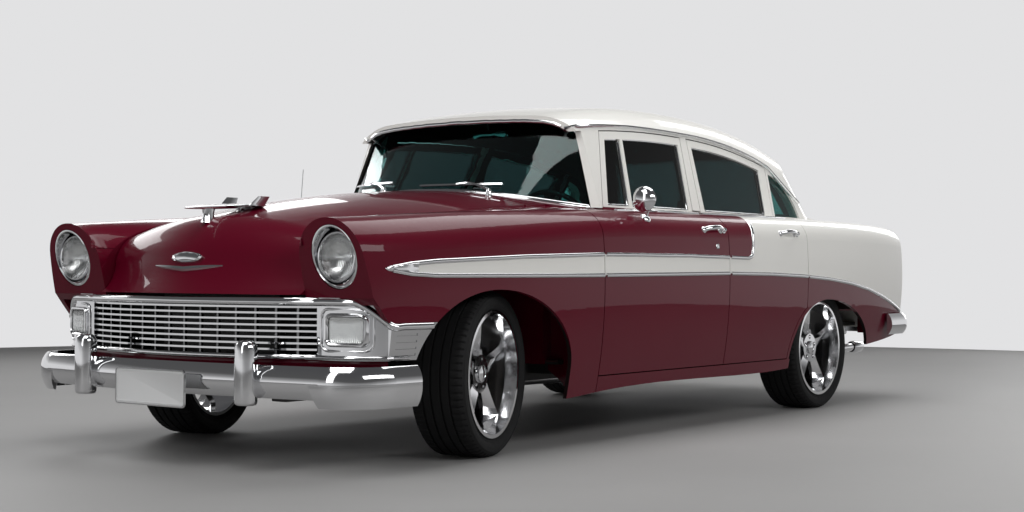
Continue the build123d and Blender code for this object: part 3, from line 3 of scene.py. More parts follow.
import bmesh
import bpy
from mathutils import Matrix, Vector
from mathutils.bvhtree import BVHTree
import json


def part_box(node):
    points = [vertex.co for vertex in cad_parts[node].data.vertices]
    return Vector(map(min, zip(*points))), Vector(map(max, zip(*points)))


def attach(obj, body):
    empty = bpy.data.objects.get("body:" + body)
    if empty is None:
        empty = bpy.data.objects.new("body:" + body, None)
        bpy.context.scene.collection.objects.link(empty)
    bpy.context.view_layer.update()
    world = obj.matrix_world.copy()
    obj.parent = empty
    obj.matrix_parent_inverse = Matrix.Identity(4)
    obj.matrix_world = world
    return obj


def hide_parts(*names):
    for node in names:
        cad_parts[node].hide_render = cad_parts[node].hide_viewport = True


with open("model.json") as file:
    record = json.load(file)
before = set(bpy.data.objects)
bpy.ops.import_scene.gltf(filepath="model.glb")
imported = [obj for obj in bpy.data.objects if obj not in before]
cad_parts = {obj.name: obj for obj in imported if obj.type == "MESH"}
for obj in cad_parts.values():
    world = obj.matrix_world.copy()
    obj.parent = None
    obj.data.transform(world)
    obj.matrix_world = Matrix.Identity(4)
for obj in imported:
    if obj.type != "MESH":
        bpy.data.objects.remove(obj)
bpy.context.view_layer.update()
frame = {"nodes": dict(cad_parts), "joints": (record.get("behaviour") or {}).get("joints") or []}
nodes = frame["nodes"]
bodySides = {1: "left", -1: "right"}
alongX, alongY, alongZ = Vector((1, 0, 0)), Vector((0, 1, 0)), Vector((0, 0, 1))


# Handling pieces

def pickOnly(*pieces):
    bpy.ops.object.select_all(action="DESELECT")
    for piece in pieces:
        piece.select_set(True)
    bpy.context.view_layer.objects.active = pieces[-1]


def addModifier(piece, kind, **settings):
    modifier = piece.modifiers.new(kind.title(), kind)
    for key, value in settings.items():
        setattr(modifier, key, value)
    pickOnly(piece)
    bpy.ops.object.modifier_apply(modifier=modifier.name)


def applyPlace(piece):
    pickOnly(piece)
    bpy.ops.object.transform_apply(location=True, rotation=True, scale=True)


def joinPieces(pieces):
    for piece in pieces:
        applyPlace(piece)
    pickOnly(*pieces)
    if len(pieces) > 1:
        bpy.ops.object.join()
    return pieces[-1]


def finishPiece(made, name, body, finish, angle=38):
    # made is one piece, or a list to join; the finish becomes its only material
    piece = joinPieces(made) if isinstance(made, list) else made
    applyPlace(piece)
    bpy.ops.object.shade_smooth_by_angle(angle=math.radians(angle))
    piece.name = name
    piece.data.name = name
    piece.data.materials.clear()
    piece.data.materials.append(finishes[finish])
    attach(piece, body)
    return piece


def inEdit(piece, *steps):
    # runs mesh operators on the whole piece
    pickOnly(piece)
    bpy.ops.object.mode_set(mode="EDIT")
    bpy.ops.mesh.select_all(action="SELECT")
    for step in steps:
        step()
    bpy.ops.object.mode_set(mode="OBJECT")


def weld():
    bpy.ops.mesh.remove_doubles(threshold=0.00005)


def facesOut():
    bpy.ops.mesh.normals_make_consistent(inside=False)


# Lines and shapes

def shares(count):
    # even shares from 0 to 1
    return [k / count for k in range(count + 1)]


def evenly(start, end, count):
    return [start + (end - start) * k / count for k in range(count + 1)]


def angles(count):
    return [2 * math.pi * k / count for k in range(count)]


def tubeShape(radius, sides=10):
    return [(radius * math.cos(a), radius * math.sin(a)) for a in angles(sides)]


def halfRound(half, height, sides=6):
    # a roll that stands on a surface
    return [(-half * math.cos(math.pi * t), height * math.sin(math.pi * t) - 0.001) for t in shares(sides)]


def stripShape(half, top, height, foot=-0.001):
    # a flat-topped strip that stands on a surface
    return [(-half, foot), (-top, height), (top, height), (half, foot)]


def ovalRing(centre, across, upward, count):
    return [centre + across * math.cos(a) + upward * math.sin(a) for a in angles(count)]


def roundedSquare(halfAcross, halfUp, corner, sides=6):
    points = []
    for right, top, start in ((1, 1, 0), (-1, 1, 90), (-1, -1, 180), (1, -1, 270)):
        for t in shares(sides):
            a = math.radians(start + 90 * t)
            points.append((right * (halfAcross - corner) + corner * math.cos(a),
                           top * (halfUp - corner) + corner * math.sin(a)))
    return points


def squareRings(centre, across, upward, outwards, stations):
    # rounded rectangles stacked outwards, each as half across, half up, corner and out
    rings = []
    for halfAcross, halfUp, corner, out in stations:
        middle = Vector(centre) + outwards * out
        rings.append([middle + across * a + upward * b for a, b in roundedSquare(halfAcross, halfUp, corner)])
    return rings


def layRows(rows, closed=False, capEnds=False):
    # a grid whose rows are laid on rows of points; closed joins each row's ends
    if closed:
        rows = [list(row) + [row[0]] for row in rows]
    count, across = len(rows), len(rows[0])
    bpy.ops.mesh.primitive_grid_add(x_subdivisions=count - 1, y_subdivisions=across - 1, size=1)
    piece = bpy.context.object
    for vertex in piece.data.vertices:
        i = round((vertex.co.x + 0.5) * (count - 1))
        j = round((vertex.co.y + 0.5) * (across - 1))
        vertex.co = rows[i][j]
    steps = [weld]
    if capEnds:
        steps.append(lambda: bpy.ops.mesh.select_non_manifold())
        steps.append(lambda: bpy.ops.mesh.fill_holes(sides=0))
        steps.append(lambda: bpy.ops.mesh.select_all(action="SELECT"))
    inEdit(piece, *steps, facesOut)
    return piece


def stackRings(rings):
    # rings laid one on the next, with both ends closed
    return layRows(rings, closed=True, capEnds=True)


def tidyLine(points, step):
    # the same line with points at even steps
    points = [Vector(p) for p in points]
    out = [points[0]]
    for a, b in zip(points, points[1:]):
        n = max(1, round((b - a).length / step))
        out += [a.lerp(b, k / n) for k in range(1, n + 1)]
    return out


def roundLine(points, step=0.02, closed=False):
    # a smooth line through the points
    points = [Vector(p) for p in points]
    out = []
    n = len(points)
    for i in range(n if closed else n - 1):
        p1, p2 = points[i], points[(i + 1) % n]
        p0 = points[i - 1] if i or closed else p1 * 2 - p2
        p3 = points[(i + 2) % n] if i + 2 < n or closed else p2 * 2 - p1
        steps = max(1, round((p2 - p1).length / step))
        for k in range(steps):
            t = k / steps
            out.append(0.5 * (2 * p1 + (p2 - p0) * t + (2 * p0 - 5 * p1 + 4 * p2 - p3) * t * t
                              + (3 * p1 - p0 - 3 * p2 + p3) * t ** 3))
    if not closed:
        out.append(points[-1])
    return out


def sweepAlong(line, shape, outward, closed=False, taper=None):
    # sweeps a closed shape of (across, out) points; outward is one direction, or one for each point
    rows = []
    n = len(line)
    for i, point in enumerate(line):
        before = line[i - 1] if i or closed else point
        after = line[(i + 1) % n] if i + 1 < n or closed else point
        along = (after - before).normalized()
        out = outward if isinstance(outward, Vector) else outward[i]
        across = along.cross(out).normalized()
        out = across.cross(along).normalized()
        grow = taper(i / (n - 1)) if taper else 1
        rows.append([point + across * (a * grow) + out * (b * grow) for a, b in shape])
    if closed:
        rows.append(rows[0])
    return layRows(rows, closed=True, capEnds=not closed)


def sweepOn(found, shape, closed=False, taper=None):
    # the same along (spot, facing) pairs
    return sweepAlong([spot for spot, _ in found], shape, [facing for _, facing in found], closed, taper)


def spinProfile(profile, centre, axis, steps=48):
    # turns (radius, along) points about an axis
    axis = Vector(axis).normalized()
    side = axis.orthogonal().normalized()
    side = (side - axis * side.dot(axis)).normalized()
    other = axis.cross(side)
    rows = []
    for t in shares(steps):
        a = 2 * math.pi * t
        spoke = side * math.cos(a) + other * math.sin(a)
        rows.append([Vector(centre) + spoke * r + axis * h for r, h in profile])
    return layRows(rows)


# Finding places on the CAD nodes

surfaces = {}


def surfaceOf(*names):
    if names not in surfaces:
        points, faces = [], []
        for name in names:
            mesh = nodes[name].data
            base = len(points)
            points += [v.co.copy() for v in mesh.vertices]
            faces += [[base + v for v in face.vertices] for face in mesh.polygons]
        surfaces[names] = BVHTree.FromPolygons(points, faces)
    return surfaces[names]


def castOn(names, start, toward):
    # where a ray meets the nodes, and which way they face there
    spot, normal, _, _ = surfaceOf(*names).ray_cast(Vector(start), Vector(toward))
    if spot is None:
        return None
    return spot, normal if normal.dot(Vector(toward)) < 0 else -normal


def sideHit(names, x, z, side):
    return castOn(names, (x, side * 1.4, z), (0, -side, 0))


def innerHit(names, x, z, side):
    return castOn(names, (x, side * 0.2, z), (0, side, 0))


def topHit(names, x, y):
    return castOn(names, (x, y, 2.5), (0, 0, -1))


def frontHit(names, y, z):
    return castOn(names, (3.2, y, z), (-1, 0, 0))


def rearHit(names, y, z):
    return castOn(names, (-3.2, y, z), (1, 0, 0))


def sideLine(node, points, side):
    found = [sideHit((node,), x, z, side) for x, z in points]
    return [hit for hit in found if hit]


# Shader maths

class Value:
    def __init__(self, tree, socket):
        self.tree, self.socket = tree, socket

    def maths(self, operation, other=None, swap=False):
        pair = (other, self) if swap else (self, other)
        return self.tree.node("ShaderNodeMath", {"operation": operation},
                              {i: p for i, p in enumerate(pair) if p is not None})[0]

    def __add__(self, other):
        return self.maths("ADD", other)

    def __radd__(self, other):
        return self.maths("ADD", other, True)

    def __sub__(self, other):
        return self.maths("SUBTRACT", other)

    def __rsub__(self, other):
        return self.maths("SUBTRACT", other, True)

    def __mul__(self, other):
        return self.maths("MULTIPLY", other)

    def __rmul__(self, other):
        return self.maths("MULTIPLY", other, True)

    def __pow__(self, other):
        return self.maths("POWER", other)

    def __gt__(self, other):
        return self.maths("GREATER_THAN", other)

    def __lt__(self, other):
        return self.maths("LESS_THAN", other)

    def least(self, other):
        return self.maths("MINIMUM", other)

    def most(self, other):
        return self.maths("MAXIMUM", other)

    def size(self):
        return self.maths("ABSOLUTE")

    def wave(self):
        return self.maths("SINE")


class Finish:
    def __init__(self, name):
        self.material = bpy.data.materials.new(name)
        self.material.use_nodes = True
        self.nodes = self.material.node_tree.nodes
        self.links = self.material.node_tree.links
        self.shader = self.nodes["Principled BSDF"]
        coordinates = self.nodes.new("ShaderNodeTexCoord")
        self.place = Value(self, coordinates.outputs["Object"])
        self.facing = Value(self, coordinates.outputs["Normal"])
        self.x, self.y, self.z = self.node("ShaderNodeSeparateXYZ", {}, {0: self.place})
        self.facingX, self.facingY, self.facingZ = self.node("ShaderNodeSeparateXYZ", {}, {0: self.facing})

    def node(self, kind, settings, values):
        made = self.nodes.new(kind)
        for key, value in settings.items():
            setattr(made, key, value)
        for key, value in values.items():
            if isinstance(value, Value):
                self.links.new(value.socket, made.inputs[key])
            else:
                made.inputs[key].default_value = value
        return [Value(self, socket) for socket in made.outputs]

    def noise(self, scale, detail=3.0):
        values = {"Vector": self.place, "Scale": scale, "Detail": detail}
        return self.node("ShaderNodeTexNoise", {}, values)[0]

    def mix(self, factor, first, second):
        return self.node("ShaderNodeMix", {"data_type": "RGBA"}, {0: factor, 6: first, 7: second})[2]

    def bump(self, height, strength, distance):
        bumped = {"Height": height, "Strength": strength, "Distance": distance}
        self.set(Normal=self.node("ShaderNodeBump", {}, bumped)[0])

    def set(self, **values):
        for key, value in values.items():
            socket = self.shader.inputs[key.replace("_", " ")]
            if isinstance(value, Value):
                self.links.new(value.socket, socket)
            else:
                socket.default_value = value
        return self


def rgb(r, g, b):
    return (r, g, b, 1.0)


# The side's trim lines, from the front, as x and z in metres
trimLines = {
    "upper": [(2.206, 0.726), (2.10, 0.742), (1.967, 0.753), (1.45, 0.775), (0.897, 0.791), (0.2, 0.793),
              (-0.372, 0.7885)],
    "lower": [(2.206, 0.722), (2.10, 0.707), (1.967, 0.701), (1.45, 0.702), (0.897, 0.704), (-0.171, 0.714),
              (-0.62, 0.711), (-0.975, 0.702), (-1.28, 0.687), (-1.559, 0.664), (-1.80, 0.630),
              (-2.02, 0.588), (-2.216, 0.542), (-2.37, 0.500)],
    "kick": [(-0.372, 0.7885), (-0.400, 0.796), (-0.416, 0.825), (-0.424, 0.890), (-0.442, 0.962)],
}


def lineHeight(finish, line):
    # the height of a trim line at each point's x, as sums of ramps
    height, slope, total = line[0][1], 0.0, None
    for (xa, za), (xb, zb) in zip(line, line[1:]):
        new = (zb - za) / (xa - xb)
        bend = (xa - finish.x).most(0.0) * (new - slope)
        total = bend if total is None else total + bend
        slope = new
    return total + height


def inward(finish):
    # 1 on the cabin's inner faces and inside the wheel arches
    cabin = (finish.x < 0.885) * (finish.x > -1.5)
    low = (finish.z < 0.72) * (finish.y.size() > 0.66) * (finish.x < 2.05)
    turned = (finish.y * finish.facingY) < -0.12
    backWall = (finish.facingX > 0.4) * (finish.y.size() < 0.915)
    frontWell = (finish.x > 0.9) * (finish.x < 1.40) * (finish.z < 0.80) * backWall
    rearWell = (finish.x > -2.0) * (finish.x < -1.45) * (finish.z < 0.72) * backWall
    return (turned * (cabin + low).least(1.0) + frontWell + rearWell).least(1.0)


paint = {"wine": (0.094, 0.0010, 0.0108), "wineFlake": (0.152, 0.0028, 0.019), "white": (0.83, 0.82, 0.785),
         "whitePatch": (0.80, 0.79, 0.75), "inside": (0.016, 0.009, 0.009), "rough": 0.32, "coat": 0.66}


def paintTones(finish):
    flakes = finish.noise(900.0, 1.0)
    patches = finish.noise(1.7, 2.0)
    glitter = (flakes - 0.35).most(0.0) * 0.6 + patches * 0.25
    return {"wine": finish.mix(glitter, rgb(*paint["wine"]), rgb(*paint["wineFlake"])),
            "white": finish.mix(patches, rgb(*paint["white"]), rgb(*paint["whitePatch"]))}


def coated(finish, colour, rough, coat):
    finish.set(Base_Color=colour, Roughness=rough, Coat_Weight=coat, Specular_IOR_Level=0.06,
               Coat_Roughness=0.02, Coat_IOR=1.34)
    finish.bump(finish.noise(240.0, 2.0), 0.03, 0.0004)
    return finish.material


def lacquer(name, tone, lining=None):
    # one colour, with an inner lining where one is given
    finish = Finish(name)
    colour = paintTones(finish)[tone]
    if not lining:
        return coated(finish, colour, finish.noise(3.0) * 0.05 + paint["rough"], paint["coat"])
    inside = (finish.facingZ < -0.25).most(inward(finish)) * (finish.z > 1.0)
    return coated(finish, finish.mix(inside, colour, rgb(*lining)), inside * 0.5 + paint["rough"],
                  paint["coat"] - inside * paint["coat"])


def twoTone(name):
    # white between the trim lines, behind the kick and round the windows; wine elsewhere
    finish = Finish(name)
    tones = paintTones(finish)
    lower = lineHeight(finish, trimLines["lower"])
    upper = lineHeight(finish, trimLines["upper"])
    behindKick = finish.x < (finish.z - 0.787) * -0.14 - 0.412
    band = (finish.z > lower) * (finish.z < upper) * (finish.x < 2.10)
    frames = (finish.z > 1.003) * (finish.x < 0.90)
    isWhite = (band + (finish.z > lower) * behindKick + frames).least(1.0)
    inside = inward(finish)
    colour = finish.mix(inside, finish.mix(isWhite, tones["wine"], tones["white"]), rgb(*paint["inside"]))
    return coated(finish, colour, finish.noise(3.0) * 0.05 + paint["rough"] + inside * 0.3,
                  paint["coat"] - inside * 0.6)


def chromed(name, tone=0.86, rough=0.04, wear=0.05, shade=None):
    finish = Finish(name)
    smears = finish.noise(5.0, 4.0)
    colour = finish.mix(smears, rgb(tone, tone, tone * 1.01), rgb(tone * 0.93, tone * 0.94, tone * 0.96))
    gloss = smears * wear + rough
    if shade:
        # painted shade: where this mask is 1 the chrome turns near black and rougher
        depth = shade(finish)
        colour = finish.mix(depth, colour, rgb(0.012, 0.012, 0.013))
        gloss = gloss + depth * 0.4
    finish.set(Base_Color=colour, Metallic=1.0, Roughness=gloss)
    return finish.material


# the grille's bow in metres: how far a point lies behind the front of its bars, which sets the painted shade
# on the deeper chrome
grilleBow = {"radius": 1.6001, "centre": 0.8149, "half": 0.600, "low": 0.402, "high": 0.610,
             "shadeFrom": 0.0115}


def shadeBehindBars(finish):
    # painted shade: 0 at the bars' front, rising to 1 a few millimetres deeper inside the mesh
    reach = (finish.y * finish.y * -1.0 + grilleBow["radius"] ** 2) ** 0.5
    depth = reach + grilleBow["centre"] - finish.x
    inHeight = (finish.z > grilleBow["low"]) * (finish.z < grilleBow["high"])
    inMesh = (finish.y.size() < grilleBow["half"]) * inHeight
    return ((depth - grilleBow["shadeFrom"]) * 260.0).most(0.0).least(1.0) * inMesh


def plain(name, dark, light, scale, rough, roughRange=0.1, bumpScale=400.0, bumpStrength=0.2, **more):
    finish = Finish(name)
    grain = finish.noise(scale, 5.0)
    finish.set(Base_Color=finish.mix(grain, rgb(*dark), rgb(*light)), Roughness=grain * roughRange + rough,
               **more)
    finish.bump(finish.noise(bumpScale, 3.0), bumpStrength, 0.0006)
    return finish.material


def glassy(name, tint):
    finish = Finish(name)
    finish.set(Base_Color=tint, Transmission_Weight=1.0, IOR=1.45,
               Roughness=finish.noise(2.5, 2.0) * 0.02 + 0.01)
    return finish.material


def ribbedGlass(name):
    # clear glass pressed into upright ribs, with a faint cross band
    finish = Finish(name)
    ribs = (finish.y * 900.0).wave() * 0.5 + (finish.z * 260.0).wave() * 0.3
    finish.set(Base_Color=rgb(0.94, 0.95, 0.94), Transmission_Weight=1.0, IOR=1.4,
               Roughness=finish.noise(9.0) * 0.06 + 0.02)
    finish.bump(ribs, 0.35, 0.0012)
    return finish.material


vinylTones = {"cream": ((0.55, 0.50, 0.42), (0.66, 0.61, 0.52)),
              "wine": ((0.12, 0.010, 0.018), (0.17, 0.018, 0.026))}
undercoat = ((0.012, 0.012, 0.013), (0.035, 0.033, 0.031))


def pleated(name):
    # wine inserts with sewn pleats across the benches, cream bolsters round them
    finish = Finish(name)
    grain = finish.noise(9.0, 5.0)
    inset = (finish.y.size() < 0.50) * (finish.z > 0.44)
    cream, wine = (finish.mix(grain, rgb(*vinylTones[tone][0]), rgb(*vinylTones[tone][1]))
                   for tone in vinylTones)
    pleat = (finish.y * 104.72).wave().size() ** 0.5
    finish.set(Base_Color=finish.mix(inset, cream, wine), Roughness=grain * 0.2 + 0.42)
    finish.bump(pleat * inset + finish.noise(520.0, 3.0) * 0.06, 0.7, 0.004)
    return finish.material


def floorCover(name):
    # carpet on the cabin's floor, black undercoat below and outside it
    finish = Finish(name)
    grain = finish.noise(160.0, 5.0)
    cabin = (finish.facingZ > 0.1).most(inward(finish)) * (finish.z > 0.34) * (finish.x > -1.2)
    carpet = finish.mix(grain, rgb(0.045, 0.012, 0.014), rgb(0.09, 0.025, 0.028))
    coat = finish.mix(grain, rgb(*undercoat[0]), rgb(*undercoat[1]))
    finish.set(Base_Color=finish.mix(cabin, coat, carpet), Roughness=cabin * 0.4 + 0.5,
               Specular_IOR_Level=0.3)
    finish.bump(finish.noise(900.0, 3.0), 0.8, 0.0018)
    return finish.material


finishes = {
    "body": twoTone("twoTonePaint"),
    "wine": lacquer("winePaint", "wine"),
    "white": lacquer("whitePaint", "white"),
    "roof": lacquer("roofPaint", "white", lining=(0.060, 0.055, 0.050)),
    "chrome": chromed("brightChrome", 0.80),
    # the grille's chrome is a shaded copy: a lower tone than the bright chrome, and near black where it lies
    # deep, both painted shade
    "grille": chromed("shadedGrilleChrome", 0.66, shade=shadeBehindBars),
    "stainless": chromed("polishedStainless", 0.80, 0.09, 0.06),
    "alloy": chromed("polishedAlloy", 0.84, 0.09, 0.06),
    "reflector": chromed("lampReflector", 0.80, 0.16, 0.10),
    "mirror": chromed("mirrorGlass", 0.9, 0.01, 0.01),
    # near black used as painted shade: the headlamp gap, the rings in the lug holes and the panels behind the
    # grille
    "shadeBlack": plain("shadowBlack", (0.004, 0.004, 0.004), (0.008, 0.008, 0.008), 12.0, 0.7, 0.2, 200.0),
    "chassis": plain("chassisBlack", *undercoat, 14.0, 0.42, 0.25, 220.0, 0.35),
    "iron": plain("castIron", (0.06, 0.058, 0.056), (0.14, 0.13, 0.12), 20.0, 0.5, 0.3, 300.0, 0.5,
                  Metallic=0.6),
    "rubber": plain("tyreRubber", (0.0055, 0.0055, 0.006), (0.012, 0.012, 0.0125), 30.0, 0.62, 0.25, 600.0,
                    0.25, Specular_IOR_Level=0.3),
    "glass": glassy("tintedGlass", rgb(0.17, 0.42, 0.40)),
    # the side panes' near-black tint is painted shade for the dim cabin seen through them; the glass itself
    # matches the windshield
    "sideGlass": glassy("darkGlass", rgb(0.055, 0.065, 0.070)),
    "ribbedLens": ribbedGlass("ribbedLens"),
    "redLens": plain("redLens", (0.35, 0.004, 0.006), (0.50, 0.012, 0.014), 60.0, 0.12, 0.1, 260.0, 0.3,
                     Coat_Weight=1.0),
    "pleats": pleated("pleatedVinyl"),
    "floorPan": floorCover("floorPan"),
    "dial": plain("dialFace", (0.62, 0.60, 0.52), (0.70, 0.68, 0.60), 8.0, 0.4, 0.1, 80.0, 0.1),
    "engineRed": plain("enginePaint", (0.16, 0.016, 0.009), (0.22, 0.028, 0.013), 9.0, 0.35, 0.2, 120.0),
    "vinyl": plain("seatVinyl", *vinylTones["cream"], 9.0, 0.42, 0.2, 520.0, 0.35, Coat_Weight=0.15),
    "vinylWine": plain("wineVinyl", *vinylTones["wine"], 9.0, 0.40, 0.2, 520.0, 0.35, Coat_Weight=0.15),
    "plastic": plain("darkPlastic", (0.018, 0.017, 0.017), (0.035, 0.033, 0.033), 25.0, 0.35, 0.2, 500.0),
    "plate": plain("plateWhite", (0.76, 0.77, 0.77), (0.82, 0.82, 0.82), 6.0, 0.35, 0.1, 60.0, 0.1),
}
nodeFinish = {
    "chassis_frame": "chassis", "floor_pan": "floorPan", "cowl": "wine", "left_body_side": "body",
    "right_body_side": "body", "roof": "roof", "rear_deck": "white", "tail_panel": "white",
    "fixed_glass": "glass", "left_front_fender": "body", "right_front_fender": "body",
    "inner_fenders": "chassis", "grille": "grille", "front_bumper": "chrome", "rear_bumper": "chrome",
    "front_lamps": "chrome", "tail_lamps": "redLens", "engine": "iron", "radiator": "chassis",
    "fuel_tank": "chassis", "front_suspension": "chassis", "rear_axle": "chassis", "exhaust": "stainless",
    "front_seat": "vinyl", "rear_seat": "vinyl", "dashboard": "wine", "steering_wheel": "plastic",
    "left_knuckle": "iron", "right_knuckle": "iron", "hood": "wine", "trunk_lid": "white",
}
for word in bodySides.values():
    for end in ("front", "rear"):
        nodeFinish[f"{word}_{end}_wheel"] = "alloy"
        nodeFinish[f"{word}_{end}_tyre"] = "rubber"
        nodeFinish[f"{word}_{end}_door"] = "body"
        nodeFinish[f"{word}_{end}_door_glass"] = "sideGlass"
for node, finish in nodeFinish.items():
    nodes[node].data.materials.clear()
    nodes[node].data.materials.append(finishes[finish])
print("finishes made:", len(finishes))

# Camera, floor and light
view = {"place": (6.402, 4.51, 0.71), "yaw": -143.59, "pitch": 0.63, "roll": 0.24, "focalPixels": 1575,
        "width": 1024}
yaw, pitch, roll = (math.radians(view[k]) for k in ("yaw", "pitch", "roll"))
outlook = Vector((math.cos(pitch) * math.cos(yaw), math.cos(pitch) * math.sin(yaw), math.sin(pitch)))
right = outlook.cross(alongZ).normalized()
up = right.cross(outlook)
imageRight = right * math.cos(roll) + up * math.sin(roll)
imageUp = up * math.cos(roll) - right * math.sin(roll)
bpy.ops.object.camera_add()
camera = bpy.context.object
camera.name = "photoView"
turn = Matrix((imageRight, imageUp, -outlook)).transposed().to_4x4()
camera.matrix_world = Matrix.Translation(view["place"]) @ turn
camera.data.sensor_width = 36
camera.data.lens = view["focalPixels"] / view["width"] * 36
camera.data.clip_end = 200
bpy.context.scene.camera = camera

bpy.ops.mesh.primitive_circle_add(vertices=160, radius=8.4, fill_type="NGON", location=(0, 0, 0))
floor = bpy.context.object
floor.name = "studioFloor"
floorFinish = plain("studioFloor", (0.29, 0.287, 0.284), (0.39, 0.386, 0.381), 0.9, 0.50, 0.2, 40.0, 0.1,
                    Specular_IOR_Level=0.25)
floor.data.materials.append(floorFinish)

# The studio's pale walls up to about 15 degrees, then a dim ceiling that the soft boxes hang under
studio = {"strength": 0.95, "foot": (0.80, 0.80, 0.81, 1), "top": (0.08, 0.08, 0.085, 1),
          "levels": ((0.20, 0.80), (0.34, 0.34), (0.52, 0.10)), "lower": {0: 0.24, 1: 0.30}}
world = bpy.context.scene.world or bpy.data.worlds.new("studio")
bpy.context.scene.world = world
world.use_nodes = True
sky = world.node_tree
sky.nodes.clear()
output = sky.nodes.new("ShaderNodeOutputWorld")
background = sky.nodes.new("ShaderNodeBackground")
direction = sky.nodes.new("ShaderNodeTexCoord")
split = sky.nodes.new("ShaderNodeSeparateXYZ")
ramp = sky.nodes.new("ShaderNodeValToRGB")
sky.links.new(direction.outputs["Generated"], split.inputs[0])
height = split.outputs[2]
for axis, share in studio["lower"].items():
    # the walls are lower ahead of the car and on its left, which the near panels mirror
    ahead = sky.nodes.new("ShaderNodeMath")
    ahead.operation = "MAXIMUM"
    ahead.inputs[1].default_value = 0.0
    lower = sky.nodes.new("ShaderNodeMath")
    lower.operation = "MULTIPLY_ADD"
    lower.inputs[1].default_value = share
    sky.links.new(split.outputs[axis], ahead.inputs[0])
    sky.links.new(ahead.outputs[0], lower.inputs[0])
    sky.links.new(height, lower.inputs[2])
    height = lower.outputs[0]
sky.links.new(height, ramp.inputs[0])
for position, level in studio["levels"]:
    stop = ramp.color_ramp.elements.new(position)
    stop.color = (level, level, level * 1.01, 1)
ramp.color_ramp.elements[0].color = studio["foot"]
ramp.color_ramp.elements[-1].color = studio["top"]
sky.links.new(ramp.outputs[0], background.inputs[0])
sky.links.new(background.outputs[0], output.inputs[0])
background.inputs[1].default_value = studio["strength"]

lamps = {
    "overhead": {"place": (-1.5, 0.6, 4.4), "size": (4.4, 3.2), "power": 118, "aim": (-1.3, 0, 0.5)},
    "noseBox": {"place": (3.7, 0.6, 4.4), "size": (2.4, 3.0), "power": 85, "aim": (2.6, 0, 0.5)},
    "sideBox": {"place": (1.2, 6.2, 3.4), "size": (7.0, 1.4), "power": 150, "aim": (0.2, 0, 0.6)},
    "farBox": {"place": (-1.0, -6.2, 3.4), "size": (7.0, 1.4), "power": 120, "aim": (0.0, 0, 0.6)},
    "frontBox": {"place": (7.6, 0.6, 3.2), "size": (1.4, 5.0), "power": 50, "aim": (1.5, 0, 0.6)},
    "rearBox": {"place": (-7.6, 0.0, 3.2), "size": (1.4, 5.0), "power": 70, "aim": (-1.5, 0, 0.6)},
}
for name, lamp in lamps.items():
    bpy.ops.object.light_add(type="AREA", location=lamp["place"])
    light = bpy.context.object
    light.name = name
    light.data.shape = "RECTANGLE"
    light.data.size, light.data.size_y = lamp["size"]
    light.data.energy = lamp["power"]
    light.rotation_euler = (Vector(lamp["aim"]) - Vector(lamp["place"])).to_track_quat("-Z", "Y").to_euler()
bpy.context.scene.view_settings.view_transform = "Standard"
print("stage set")


# Bright trim along the sides
sideTrim = {"step": 0.03, "shape": [(-0.0095, -0.001), (-0.0085, 0.004), (-0.004, 0.0075), (0.004, 0.0075),
                                    (0.0085, 0.004), (0.0095, -0.001)],
            "sections": [("fender", "front_fender", "body", 2.19, 0.903),
                         ("frontDoor", "front_door", None, 0.886, -0.172),
                         ("rearDoor", "rear_door", None, -0.190, -1.010),
                         ("quarter", "body_side", "body", -1.024, -2.360)]}


def heightOn(line, x):
    for (xa, za), (xb, zb) in zip(line, line[1:]):
        if xb <= x <= xa:
            return za + (zb - za) * (xa - x) / (xa - xb)
    return line[0][1] if x > line[0][0] else line[-1][1]


def trimPoints(which, label, xFrom, xTo):
    line = trimLines[which]
    start, end = min(xFrom, line[0][0] - 0.012), max(xTo, line[-1][0])
    if start <= end:
        return []
    if which == "upper" and label == "rearDoor":
        # the upper line turns up into the kick
        bend = roundLine([(x, 0, z) for x, z in [(start, 0.7905)] + trimLines["kick"]], 0.02)
        return [(point.x, point.z) for point in bend]
    count = max(2, round((start - end) / sideTrim["step"]))
    return [(x, heightOn(line, x)) for x in evenly(start, end, count)]


for side, word in bodySides.items():
    for label, node, body, xFrom, xTo in sideTrim["sections"]:
        laidOn = f"{word}_{node}"
        lines = [sideLine(laidOn, trimPoints(which, label, xFrom, xTo), side) for which in ("upper", "lower")]
        made = [sweepOn(found, sideTrim["shape"]) for found in lines if len(found) > 1]
        finishPiece(made, f"{word}SideTrim.{label}", body or laidOn, "stainless", 50)

# Spear tips on the fenders
spearTip = {"nose": 2.225, "long": 0.16, "skinEnd": 2.205, "height": 0.7245, "half": 0.026, "edge": 0.007,
            "crown": 0.011}
for side, word in bodySides.items():
    tip = []
    for t in shares(10):
        x = spearTip["nose"] - spearTip["long"] * t
        onSkin = min(x, spearTip["skinEnd"])
        spot, out = sideHit((f"{word}_front_fender",), onSkin, spearTip["height"], side)
        spot = spot + Vector((x - onSkin, 0, 0))
        half = alongZ * (spearTip["half"] * t ** 0.6 + 0.0012)
        edge = out * (spearTip["edge"] * min(1, t * 3))
        fall = 1 - max(0.0, t - 0.55) / 0.45
        crown = out * (0.0008 + spearTip["crown"] * fall * math.sin(math.pi * min(1, t * 1.4) / 2))
        tip.append([spot - half, spot + edge - half * 0.74, spot + crown, spot + edge + half * 0.74,
                    spot + half])
    finishPiece(layRows(tip), f"{word}SpearTip", "body", "stainless")

